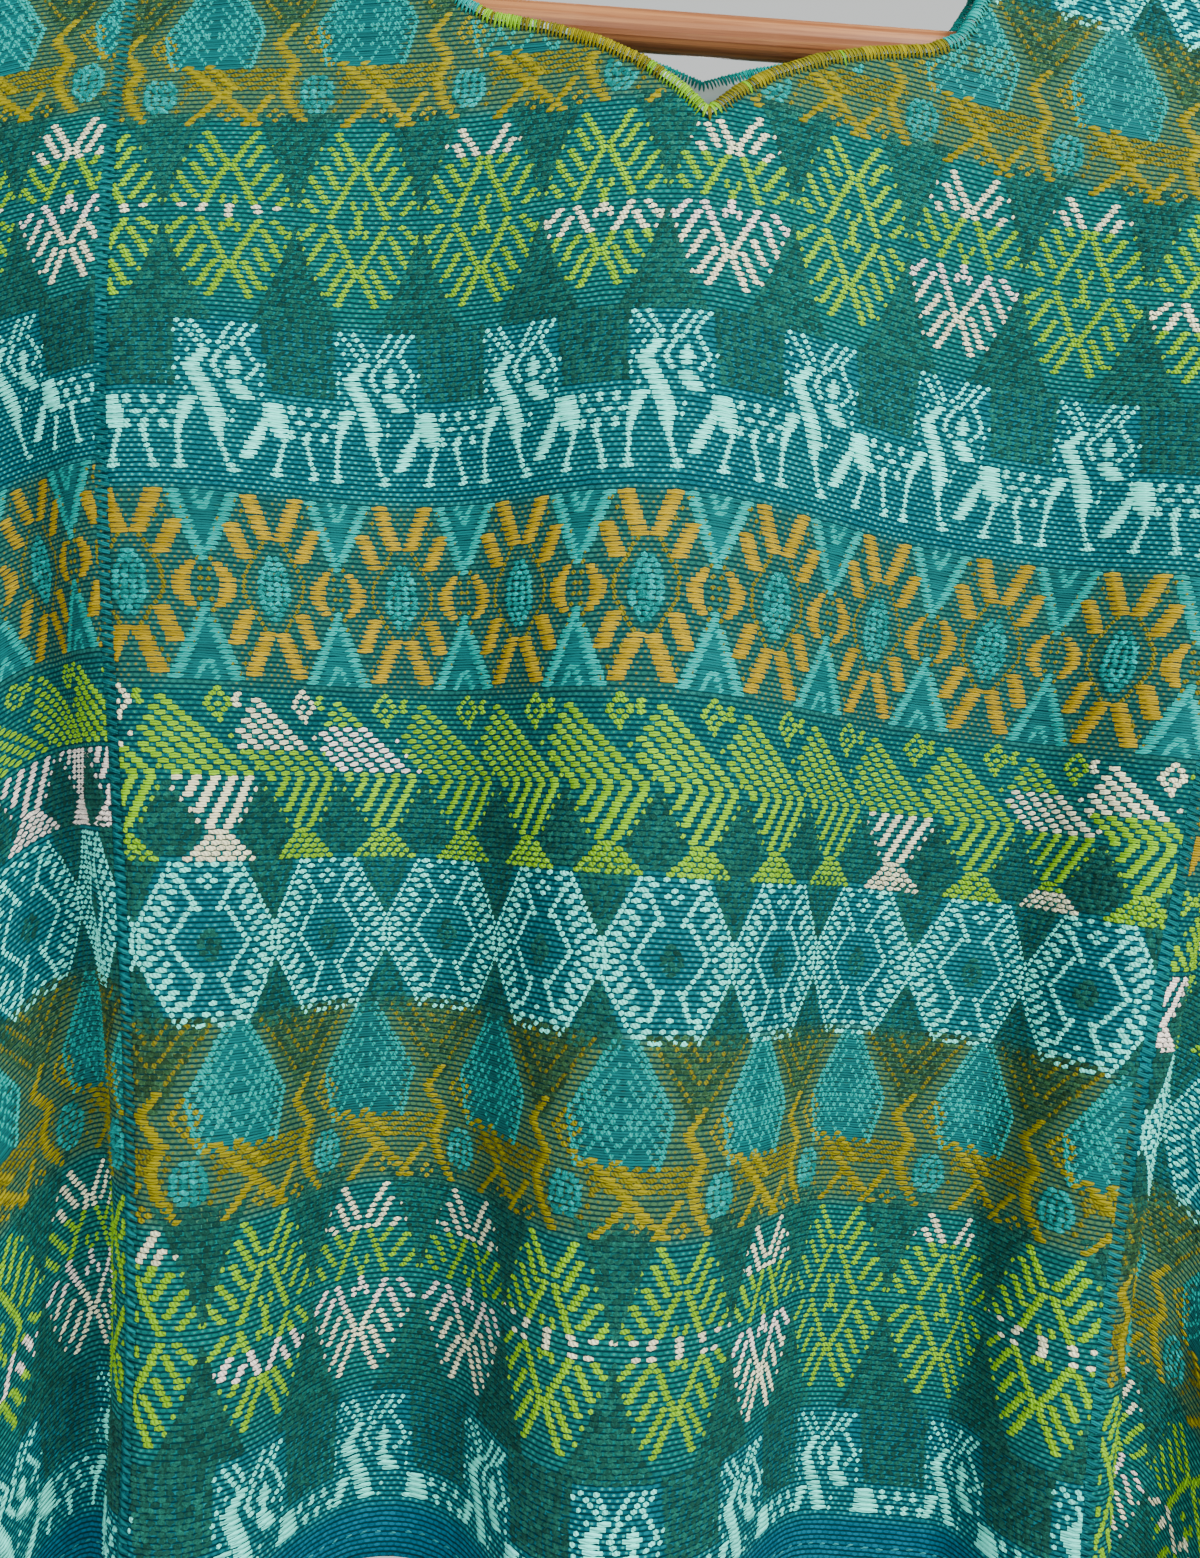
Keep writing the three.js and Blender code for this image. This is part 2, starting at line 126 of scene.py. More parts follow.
def ease(t: np.ndarray) -> np.ndarray:
    """A smooth step from 0 to 1."""
    t = np.clip(t, 0.0, 1.0)
    return t * t * (3 - 2 * t)


@dataclass
class HungCloth:
    """The garment's middle surface, hung as the solids are.

    Places are (u, s): u across the cloth from the middle, s along it from the shoulder fold,
    negative on the front and positive on the back, both in millimetres measured flat.

    Args:
        half_width: from the middle to a side edge.
        length: from the shoulder fold to the hem.
        armhole: from the shoulder fold to where the sides are sewn.
        wall: thickness of the cloth.
        fold_radius: of the shoulder fold.
        fold_top: height of the fold under the hook.
        step: spacing of the grid of places.
        arm_slope: how steeply the rows fall along the hanger's arms, whose half-length is arm_half.
        levelling: share of that slope that the rows lose by the hem.
        sleeve_slope: how steeply they fall beyond sleeve_start, which is reached over sleeve_run.
        sleeve_levelling: share of the sleeve's slope that they lose by the hem.
        fold_start: depth at which the folds begin; they are full after another fold_run.
        fold_gain: what the turns of the folds are multiplied by.
        belly: how far the middle swings out below the fold, over belly_run, and by belly_flare at the hem.
        stand: the same for the side edges.
        ridge: how far the folds push the front and the back out.
        nearest: least distance from the middle plane.
        soft: length over which the cloth bends to keep that distance.
        flare: how far the hem is moved to one side.
        edge_round: width of the rounded side edges, which begin sewn_run above the armhole's end.
        front_folds: (where a fold starts, how far it turns) on the front.
        back_folds: the same on the back.
        neck_front: (depth, half-width) of the neck opening in front.
        neck_back: the same on the back.
    """

    half_width: float = 396.0
    length: float = 628.0
    armhole: float = 210.0
    wall: float = 2.0
    fold_radius: float = 11.4
    fold_top: float = -98.0
    step: float = 2.0
    arm_slope: float = 0.21
    arm_half: float = 230.0
    levelling: float = 0.9
    sleeve_slope: float = 0.74
    sleeve_levelling: float = 0.12
    sleeve_start: float = 238.0
    sleeve_run: float = 44.0
    fold_start: float = 60.0
    fold_run: float = 540.0
    fold_gain: float = 1.12
    belly: float = 14.6
    belly_run: float = 90.0
    belly_flare: float = 16.0
    stand: float = 8.0
    stand_run: float = 110.0
    stand_flare: float = 4.0
    ridge: Point = (26.0, 2.0)
    nearest: float = 3.0
    soft: float = 4.0
    flare: float = 9.0
    edge_round: float = 42.0
    sewn_run: float = 100.0
    front_folds: tuple[Point, ...] = (
        (-396, .7), (-332, 1.05), (-266, 1.15), (-200, 1.0), (-100, .88), (-12, .88),
        (132, .98), (205, 1.3), (266, 1.05), (330, .7), (396, 0))
    back_folds: tuple[Point, ...] = (
        (-396, .75), (-330, 1.1), (-255, 1.1), (-178, .95), (-62, .9), (40, 1.0),
        (118, 1.0), (196, 1.15), (268, 1.15), (336, .75), (396, 0))
    neck_front: tuple[Point, ...] = (
        (0, 108), (26, 104), (42, 99), (56, 94), (66, 89), (73, 78), (79, 57), (86, 39), (95, 23),
        (105, 10), (115, 0))
    neck_back: tuple[Point, ...] = (
        (0, 108), (26, 103), (38, 97), (46, 90), (51, 78), (57, 57), (62, 38), (68, 20), (76, 0))
    points: np.ndarray = field(init=False)
    normals: np.ndarray = field(init=False)

    def __post_init__(self) -> None:
        """Works out the surface once, on a grid of places."""
        d = np.arange(0.0, self.length + 0.1, self.step)
        front, back = self._sheets(d)
        self.points = np.concatenate([front[::-1], back[1:]], 0)
        along = np.gradient(self.points, axis=0)
        across = np.gradient(self.points, axis=1)
        normal = np.cross(across, along)
        normal /= np.linalg.norm(normal, axis=2, keepdims=True) + 1e-9
        self.normals = normal

    def _turn(self, u: np.ndarray, folds: tuple[Point, ...]) -> np.ndarray:
        """Turn of a row at places u, positive going in towards the middle plane."""
        turn, sign = np.zeros_like(u), -1
        for (start, most), (end, _) in zip(folds[:-1], folds[1:]):
            here = (u >= start) & (u < end)
            turn[here] = sign * most * np.sin(np.pi * (u[here] - start) / (end - start))
            sign = -sign
        return turn

    def _sheets(self, d: np.ndarray) -> tuple[np.ndarray, np.ndarray]:
        """Front and back points.

        Args:
            d: distances below the fold.

        Returns:
            Two arrays of points, rows by columns by three.
        """
        u = np.arange(-self.half_width, self.half_width + 0.1, self.step)
        mid, span = len(u) // 2, np.abs(u)[None, :]
        dd = d[:, None]
        sleeve = ease((span - self.sleeve_start) / self.sleeve_run)
        level = 1 - self.levelling * np.sin(np.pi / 2 * np.minimum(1, dd / self.fold_run))
        slope = level * self.arm_slope * (span / self.arm_half) ** 0.2 * (1 - sleeve)
        slope = slope + (1 - self.sleeve_levelling * dd / self.length) * self.sleeve_slope * sleeve
        flat = np.sqrt(1 - slope**2)
        growth = np.sin(np.pi / 2 * np.clip((dd - self.fold_start) / self.fold_run, 0, 1))

        def run(rate: np.ndarray) -> np.ndarray:
            """Adds a rate up from the middle outward."""
            part = (rate[:, 1:] + rate[:, :-1]) / 2 * self.step
            total = np.concatenate([np.zeros((len(rate), 1)), np.cumsum(part, 1)], 1)
            return total - total[:, mid][:, None]

        drop = np.abs(run(np.sign(u)[None, :] * slope))
        loose = []
        for folds in (self.front_folds, self.back_folds):
            turn = self._turn(u, folds)[None, :] * growth * self.fold_gain
            loose.append((run(flat * np.cos(turn)), run(flat * np.sin(turn))))
        belly = self.fold_radius + self.belly * (1 - np.exp(-dd / self.belly_run))
        belly = belly + self.belly_flare * dd / self.length
        stand = self.fold_radius + self.stand * ease(dd / self.stand_run)
        stand = stand + self.stand_flare * dd / self.length
        nearest = self.nearest * (1 + ease(dd / self.armhole))
        sewn = ease((dd - self.armhole + self.sewn_run) / self.sewn_run)
        share = span / self.half_width
        arc = np.pi / 2 * self.fold_radius
        turned = np.minimum(dd / self.fold_radius, np.pi / 2)
        down = self.fold_radius * (1 - np.cos(turned)) + np.maximum(0, dd - arc)
        both_x, is_left = loose[0][0] + loose[1][0], u[None, :] < 0
        sheets = []
        for sheet, ridge, (x, inward) in zip(Sheet, self.ridge, loose):
            centre = belly + ridge * growth
            meet = both_x / 2 - x
            meet = np.where(is_left, meet[:, :1], meet[:, -1:])
            lift = np.where(is_left, stand - centre + inward[:, :1], stand - centre + inward[:, -1:])
            x = x + meet * share**2 + self.flare * dd / self.length
            clear = centre - inward + lift * share**1.5 - nearest
            out = nearest + self.soft * np.logaddexp(0, clear / self.soft)
            out = np.where(dd < 2 * self.fold_radius, np.maximum(out, self.fold_radius), out)
            near_edge = np.clip((span - self.half_width + self.edge_round) / self.edge_round, 0, 1)
            out = out * (1 - (1 - np.sqrt(np.maximum(0, 1 - near_edge**2))) * sewn)
            out = np.where(dd < arc, self.fold_radius * np.sin(turned), out)
            sheets.append(np.stack([x, sheet.value * out, self.fold_top - drop - down], -1))
        return sheets[0], sheets[1]

    def at(self, u: np.ndarray, s: np.ndarray, out: np.ndarray | float) -> np.ndarray:
        """Points on the cloth.

        Args:
            u: places across.
            s: places along.
            out: distance outward from the middle of the wall.

        Returns:
            Points in millimetres, one row each.
        """
        fu = np.clip((np.asarray(u, float) + self.half_width) / self.step, 0, self.points.shape[1] - 1.001)
        fs = np.clip((np.asarray(s, float) + self.length) / self.step, 0, self.points.shape[0] - 1.001)
        i, j = fu.astype(int), fs.astype(int)
        a, b = (fu - i)[..., None], (fs - j)[..., None]

        def blend(grid: np.ndarray) -> np.ndarray:
            """Bilinear look-up."""
            top = grid[j, i] * (1 - a) + grid[j, i + 1] * a
            low = grid[j + 1, i] * (1 - a) + grid[j + 1, i + 1] * a
            return top * (1 - b) + low * b

        return blend(self.points) + blend(self.normals) * np.asarray(out, float)[..., None]

    def neck_half(self, s: np.ndarray) -> np.ndarray:
        """Half-width of the neck opening at s."""
        s = np.asarray(s, float)
        front = np.interp(-s, *zip(*self.neck_front), right=0)
        back = np.interp(s, *zip(*self.neck_back), right=0)
        return np.where(s < 0, front, back)


# Charts


@dataclass(frozen=True)
class Stroke:
    """A line of stitches, one to a row, in chart units.

    Args:
        path: (down, across, width) at each bend of the line.
        yarn: its colour, or None where the motif's own colours apply.
        stitch: how it lies.
        high: how far it stands up, in millimetres.
        skip: rows from one stitch to the next.
        phase: which of the skipped rows it uses.
    """

    path: tuple[Triple, ...]
    yarn: Yarn | None = None
    stitch: Stitch = Stitch.KNOT
    high: float = 0.95
    skip: int = 1
    phase: int = 0

    def mirrored(self) -> Stroke:
        """The same stroke on the other side of the motif's middle."""
        return replace(self, path=tuple((y, -x, w) for y, x, w in self.path))


def both(*strokes: Stroke) -> list[Stroke]:
    """Strokes and their mirror images."""
    return [s for stroke in strokes for s in (stroke, stroke.mirrored())]


def line(y0: float, x0: float, y1: float, x1: float, width: float = 9.0, **kind: object) -> Stroke:
    """A straight stroke of even width."""
    return Stroke(((y0, x0, width), (y1, x1, width)), **kind)


def lines(*ends: tuple[float, float, float, float], width: float = 9.0, **kind: object) -> list[Stroke]:
    """Straight strokes between (down, across, down, across) ends."""
    return [line(*end, width, **kind) for end in ends]


def short(places: tuple[Point, ...], width: float, **kind: object) -> list[Stroke]:
    """Strokes of a single row at (down, across) places."""
    return [line(y, x, y + 4.9, x, width, **kind) for y, x in places]


def shadow(*path: Triple, high: float = 0.9, yarn: Yarn | None = None) -> Stroke:
    """Dark filling between the figures."""
    return Stroke(path, yarn or PINE, Stitch.FILL, high)


@dataclass(frozen=True)
class Motif:
    """A charted figure.

    Args:
        strokes: what it is made of.
        zones: alternative yarn changes, each a tuple of (down to, yarn).
        inlay: outline (down, half-width) inside which the ground is dotted.
        dots: colour of those dots.
    """

    strokes: tuple[Stroke, ...]
    zones: tuple[tuple[tuple[float, Yarn], ...], ...]
    inlay: tuple[Point, ...] = ()
    dots: Yarn = MINT


def one(yarn: Yarn) -> tuple[tuple[tuple[float, Yarn], ...], ...]:
    """The zones of a motif that is all in one yarn."""
    return (((FAR, yarn),),)


def snowflake() -> Motif:
    """Two crossed figures with side strokes, in a tall diamond."""
    strokes = both(
        *lines((14, 24, 49, 3), (51, 3, 105, 29), (109, 29, 161, 2), (163, 3, 200, 21), (27, 31, 56, 15),
               (47, 38, 74, 21), (61, 50, 90, 31), (83, 56, 101, 42), (111, 42, 129, 57), (122, 32, 149, 47),
               (141, 23, 167, 37), (157, 13, 185, 29)),
        *lines((85, 6, 95, 6), (115, 7, 125, 7), width=6),
        Stroke(((24, 37, 4.5), (70, 53, 4.5), (98, 62, 4.5)), skip=3, high=0.7),
        Stroke(((112, 62, 4.5), (150, 50, 4.5), (190, 33, 4.5)), skip=3, high=0.7),
    )
    strokes += [
        line(96, 0, 119, 0),
        shadow((-8, 64, 92), (10, 64, 68), (60, 64, 30), (98, 64, 5), high=0.8),
        shadow((116, 64, 5), (160, 64, 32), (204, 64, 72), (222, 64, 92), high=0.8),
    ]
    zones = (
        ((109, LIME), (140, CREAM), (FAR, LIME)),
        ((42, CREAM), (FAR, LIME)),
        ((96, LIME), (112, CREAM), (FAR, LIME)),
        ((FAR, LIME),),
        ((128, LIME), (158, ROSE_WHITE), (FAR, LIME)),
        ((60, CREAM), (104, LIME), (134, ROSE_WHITE), (FAR, CREAM)),
    )
    inlay = ((10, 28), (107, 64), (204, 26))
    return Motif(tuple(strokes), zones, inlay, Yarn("pale dots", (0.02, 0.22, 0.19)))


def deer(body: Yarn) -> Motif:
    """A standing deer looking back, with a bent neck, antlers and a spotted flank.

    Args:
        body: colour of the whole deer.

    Returns:
        The chart.
    """
    sat = dict(stitch=Stitch.FLOAT, high=1.15)
    dot = dict(high=0.7, skip=2)
    hoof = dict(high=1.05)
    strokes = [
        Stroke(((29, 3, 11), (50, -13, 17), (80, 2, 18), (106, 11, 18), (114, 9, 13), (127, 12, 6)), **sat),
        line(127, 12, 150, 18, 6), Stroke(((152, 21, 9), (159, 22, 15)), **hoof),
        *lines((3, -24, 29, -3), (3, -11, 26, 4), (3, 25, 28, 10), (3, 37, 30, 20), (3, 47, 20, 35),
               width=5.5),
        Stroke(((28, 17, 6), (47, 6, 7), (63, 15, 7))), Stroke(((22, 33, 6), (47, 49, 6), (61, 37, 6))),
        Stroke(((38, 26, 4), (48, 26, 18), (59, 27, 5)), **sat),
        Stroke(((62, 24, 12), (72, 30, 21), (84, 39, 15)), **sat),
        Stroke(((8, -30, 4.5), (34, -15, 4.5), (44, -24, 4.5), (60, -27, 4.5), (80, -14, 4.5)), **dot),
        Stroke(((38, 56, 4.5), (60, 50, 4.5), (96, 54, 4.5)), **dot), line(92, 26, 112, 22, 4.5, **dot),
        Stroke(((84, -15, 17), (96, -18, 14), (110, -23, 9), (124, -25, 6)), **sat),
        line(126, -25, 150, -25, 6), Stroke(((152, -25, 9), (158, -25, 15)), **hoof),
        Stroke(((82, -88, 18), (102, -86, 27), (118, -79, 13)), **sat),
        Stroke(((120, -77, 7), (150, -84, 6))), Stroke(((152, -84, 9), (159, -84, 14)), **hoof),
        Stroke(((104, -97, 10), (126, -106, 17), (144, -114, 13)), **sat),
        Stroke(((112, -57, 11), (120, -56, 7), (150, -49, 5.5))),
        Stroke(((152, -48, 8), (158, -48, 12)), **hoof),
    ]
    for y, xs in ((84, (-70, -54, -38)), (97, (-62, -46, -30)), (110, (-70, -54, -38))):
        strokes += [Stroke(((y, x, 6), (y + 4, x, 11), (y + 8, x, 6)), high=1.0) for x in xs]
    strokes.append(shadow((-6, 86, 74), (40, 88, 68), (74, 92, 64), high=0.75))
    return Motif(tuple(strokes), one(body), ((0, 30), (60, 40), (80, 77), (158, 77)),
                 Yarn("belly dots", (0.03, 0.36, 0.31)))


def medallion() -> Motif:
    """Gold bars round a turquoise lozenge, with turquoise points between."""
    bar = dict(stitch=Stitch.FLOAT, yarn=GOLD, high=1.2)
    point = dict(stitch=Stitch.FLOAT, yarn=TURQUOISE, high=1.0)
    dull = dict(stitch=Stitch.FLOAT, yarn=DEEP_TURQUOISE, high=0.6)
    rim = dict(yarn=OLIVE, high=0.7)
    strokes = both(
        *lines((3, 21, 46, 7), (29, 39, 66, 25), width=15, **bar),
        Stroke(((74, 50, 8), (90, 41, 15), (104, 41, 15), (119, 50, 8)), **bar),
        *lines((120, 25, 156, 37), (142, 7, 188, 24), width=15, **bar),
        Stroke(((48, 9, 5), (84, 27, 5), (104, 27, 5), (140, 8, 5)), **rim),
        Stroke(((1, 32, 5), (36, 51, 5), (95, 58, 5), (152, 50, 5), (190, 34, 5)), skip=2, **rim),
        Stroke(((8, 33, 4), (40, 16, 4)), skip=2, **rim), Stroke(((150, 17, 4), (184, 35, 4)), skip=2, **rim),
    )
    strokes += [
        Stroke(((0, 60, 44), (50, 60, 20), (70, 60, 3)), **dull),
        Stroke(((120, 60, 3), (140, 60, 20), (190, 60, 48)), **dull),
        *(Stroke(path, **point) for path in (
            ((0, 34, 12), (62, 57, 13), (74, 60, 8)), ((0, 86, 12), (62, 63, 13)),
            ((0, 52, 9), (22, 60, 12)), ((0, 68, 9), (22, 60, 12)),
            ((116, 60, 8), (130, 57, 13), (190, 34, 13)), ((130, 63, 13), (190, 86, 13)),
            ((168, 60, 12), (190, 51, 9)), ((168, 60, 12), (190, 69, 9)))),
        shadow((61, 0, 9), (82, 0, 29), (108, 0, 32), (130, 0, 9), high=1.35, yarn=BRIGHT_TURQUOISE),
    ]
    inlay = ((2, 32), (95, 58), (192, 32))
    return Motif(tuple(strokes), one(GOLD), inlay, Yarn("brown dots", (0.16, 0.15, 0.03)))


def chalice() -> Motif:
    """A cup of bent stripes on a knotted foot, with dark points between the stems."""
    sat = dict(stitch=Stitch.FLOAT, high=1.15)
    fine = dict(skip=2, high=0.8)
    upper = ((56, -65), (41, -65), (31, -59), (21, -54), (11, -48))
    lower = ((94, -34), (108, -25), (123, -16), (138, -7), (141, 8))
    strokes = []
    for k, ((top, start), (foot, end)) in enumerate(zip(upper, lower)):
        turn = -32 + 16 * k
        strokes += [line(top, start, 88, turn, 9.5, **sat), line(91, turn, foot, end, 9, **sat)]
    strokes += [
        *lines((4, 5, 18, -6), (18, -6, 32, 5), (4, 5, 18, 16), (18, 16, 32, 5), (16, 5, 21, 5), width=7),
        Stroke(((6, -58, 8), (12, -66, 8), (20, -62, 8))),
        Stroke(((34, 6, 5), (60, 22, 5), (86, 42, 5)), skip=3, high=0.8),
        Stroke(((94, -43, 5), (138, -14, 5)), **fine), Stroke(((94, 42, 5), (138, 18, 5)), **fine),
        line(139, 0, 143, 0, 18),
    ]
    for row in range(5):
        y, count = 143.5 + ROW_PX * row, 3 + row
        strokes += short(tuple((y, (k - (count - 1) / 2) * 9.4 + 2) for k in range(count)), 8.2, high=1.5)
    strokes.append(shadow((94, 45, 6), (140, 45, 58), (150, 45, 52), (168, 45, 20)))
    zones = (
        ((88, LIME), (FAR, CREAM)),
        ((FAR, LIME),),
        ((64, CREAM), (FAR, LIME)),
        ((36, LIME), (86, ROSE_WHITE), (FAR, LIME)),
        ((89, LIME), (FAR, ROSE_WHITE)),
        ((FAR, LIME),),
        ((50, LIME), (89, CREAM), (150, LIME), (FAR, CREAM)),
    )
    return Motif(tuple(strokes), zones, ((4, 50), (86, 50), (150, 14)), Yarn("lime dots", (0.02, 0.19, 0.13)))


def mint_diamond() -> Motif:
    """A diamond of three outlines with a dark heart, and dark points between."""
    strokes = both(
        Stroke(((4, 25, 4.5), (74, 56, 4.5), (86, 56, 4.5), (156, 24, 4.5)), high=0.85),
        Stroke(((4, 19, 9.5), (74, 49, 9.5), (86, 49, 9.5), (156, 18, 9.5)), high=1.05, skip=2),
        Stroke(((4, 13, 9.5), (74, 43, 9.5), (86, 43, 9.5), (156, 12, 9.5)), high=1.05, skip=2, phase=1),
        Stroke(((44, 25, 6.5), (74, 36, 6.5), (86, 36, 6.5), (118, 24, 6.5)), high=0.95, skip=2),
        Stroke(((44, 12, 6), (78, 29, 6), (112, 10, 6)), high=0.95),
        Stroke(((22, 19, 6), (50, 6, 6)), high=0.95), Stroke(((106, 6, 6), (138, 18, 6)), high=0.95),
    )
    strokes += short(((5, -6), (5, 6), (11, 0), (16, -5), (16, 5), (26, 0), (131, 0), (141, -5), (141, 5),
                      (146, 0), (152, -6), (152, 6)), 7, high=0.9)
    strokes += [
        shadow((-6, 52, 48), (30, 52, 28), (60, 52, 5)), shadow((100, 52, 5), (130, 52, 28), (164, 52, 50)),
        shadow((66, 0, 8), (80, 0, 22), (94, 0, 8)),
    ]
    inlay = ((2, 22), (80, 50), (158, 22))
    return Motif(tuple(strokes), one(MINT), inlay, Yarn("blue dots", (0.02, 0.24, 0.24)))


def kite() -> Motif:
    """A tall turquoise diamond with a flat foot, woven in chevrons."""
    tip, waist, foot = (3.0, 9.0), (72.0, 36.0), (120.0, 28.0)
    lean, spacing = 0.56, 3 * ROW_PX

    def half(y: float) -> float:
        """Half-width of the diamond."""
        return float(np.interp(y, (tip[0], waist[0], foot[0]), (tip[1], waist[1], foot[1])))

    def reach(start: float, way: int) -> float:
        """How far down or up from a place on the middle line a chevron runs before the edge."""
        run = 0.0
        while tip[0] < start + way * run < foot[0] and lean * run < half(start + way * run) - 3:
            run += 0.5
        return run

    ridge = dict(yarn=TURQUOISE, high=1.1)
    strokes = [Stroke(tuple((y, 0, 2 * w) for y, w in (tip, waist, foot)), DEEP_TURQUOISE, Stitch.FLOAT, 0.5)]
    for start in (8 + spacing * k for k in range(5)):
        run = reach(start, 1)
        strokes += both(line(start, 1.5, start + run, lean * run, 5.6, **ridge))
    for start in (84 + spacing * k for k in range(3)):
        run = reach(start, -1)
        strokes += both(line(start - run, lean * run, start, 1.5, 5.6, **ridge))
    strokes += both(*lines((tip[0], tip[1] - 3, *waist), (*waist, *foot), width=6, **ridge))
    return Motif(tuple(strokes), one(TURQUOISE))


def ochre_deer() -> Motif:
    """A spotted deer in dull gold between the turquoise diamonds, an oval by its neck."""
    sat = dict(stitch=Stitch.FLOAT, high=1.2, yarn=OCHRE)
    thigh = dict(stitch=Stitch.FLOAT, high=1.6, yarn=OCHRE)
    dot = dict(yarn=OLIVE, high=0.9)
    yarn, coat = dict(yarn=OCHRE), dict(yarn=DULL_OCHRE)
    strokes = [shadow((-3, 0, 88), (40, 0, 46), (84, 0, 8), high=0.75, yarn=MOSS)]
    strokes += both(*lines((2, -40, 62, -7), (2, -26, 44, -2), (2, -13, 24, -2), width=6, **dot))
    strokes += [
        Stroke(((66, 4, 7), (90, -9, 9), (114, 5, 10), (138, -3, 9), (160, 2, 9), (182, 14, 8)), **sat),
        *lines((72, 20, 88, 11), (72, 20, 88, 30), (88, 11, 104, 20), (88, 30, 104, 20), width=6, **yarn),
        line(84, 20, 92, 20, 9, **yarn), line(106, 24, 120, 33, 8, **sat),
        shadow((126, 22, 10), (138, 22, 25), (156, 22, 26), (170, 22, 10), high=1.35, yarn=BRIGHT_TURQUOISE),
        Stroke(((122, 9, 5), (146, 4, 5), (172, 12, 5)), skip=2, **dot),
        Stroke(((122, 36, 5), (146, 41, 5), (172, 33, 5)), skip=2, **dot),
        Stroke(((114, -74, 10), (148, -48, 11), (183, -20, 8)), **thigh),
        line(146, -44, 183, -70, 8, **thigh), line(150, -12, 183, -30, 7, **thigh),
        line(114, -58, 144, -36, 9, **thigh),
    ]
    for row in range(5):
        y, slide = 119 + ROW_PX * row, 4.6 * (row % 2)
        strokes += short(tuple((y, -70 + 9.2 * k + slide) for k in range(8)), 11, high=0.9, **coat)
    strokes += short(((163, -42), (168, -47), (168, -37), (173, -42), (166, -8), (171, -12), (171, -4),
                      (176, -8)), 7, **yarn)
    return Motif(tuple(strokes), one(OCHRE), ((2, 50), (182, 60)), Yarn("olive dots", (0.12, 0.13, 0.02)))


@dataclass(frozen=True)
class Band:
    """A row of one figure across the cloth.

    Args:
        top: where it starts, in millimetres of pattern below the fold.
        height: how tall it is.
        pitch: from one figure to the next, in chart units.
        motif: the figure.
        start: place of the first figure from the panel's edge, in chart units.
        ground: colour of the ground cloth behind it.
        wide: how much the figure is drawn out sideways.
    """

    top: float
    height: float
    pitch: float
    motif: Motif
    start: float
    ground: Triple
    wide: float = 1.0


GREEN_GROUND = (0.001, 0.098, 0.092)
TEAL_GROUND = (0.001, 0.095, 0.116)
OLIVE_GROUND = (0.040, 0.108, 0.052)
HEM_GROUND = (0.001, 0.080, 0.125)


def bands() -> tuple[Band, ...]:
    """One full repeat of the cloth's bands, from the shoulder down."""
    return (
        Band(-5, 52, 131, mint_diamond(), 70, TEAL_GROUND, 1.24),
        Band(47, 62, 154, kite(), 92, OLIVE_GROUND, 1.36),
        Band(47, 62, 154, ochre_deer(), 15, OLIVE_GROUND, 1.36),
        Band(109, 78, 126, snowflake(), 119, GREEN_GROUND),
        Band(187, 63, 154, deer(MINT), 98, TEAL_GROUND, 1.03),
        Band(250, 68, 134, medallion(), 24, (0.010, 0.085, 0.070), 1.11),
        Band(318, 59, 89, chalice(), 2, (0.001, 0.074, 0.080), 1.03),
    )


@dataclass(frozen=True)
class PanelCut:
    """One loom panel.

    Args:
        node: its name among the solids.
        slot: name of its material slot; not used.
        left: its left edge.
        right: its right edge.
        shift: how far its pattern lies below the centre panel's.
    """

    node: str
    slot: str
    left: float
    right: float
    shift: float

    @property
    def is_centre(self) -> bool:
        """Whether it is the panel with the neck opening."""
        return self.left < 0 < self.right

    @property
    def faces(self) -> tuple[tuple[Sheet, Part], ...]:
        """The pieces that its brocade is made in."""
        front = (Part.UPPER, Part.LOWER) if self.is_centre else (Part.WHOLE,)
        return (*((Sheet.FRONT, part) for part in front), (Sheet.BACK, Part.WHOLE))


CENTRE = PanelCut("centre_panel", "centre_cloth", -208.0, 208.0, 0.0)
LEFT = PanelCut("side_panel_left", "left_cloth", -396.0, -208.0, -10.0)
RIGHT = PanelCut("side_panel_right", "right_cloth", 208.0, 396.0, 44.0)
PANELS = (CENTRE, LEFT, RIGHT)


@dataclass(frozen=True)
class Figure:
    """A motif in its place on a panel.

    Args:
        band: the band it belongs to.
        top: where the band starts, in millimetres below the fold.
        middle: place of the figure's middle across the cloth.
    """

    band: Band
    top: float
    middle: float


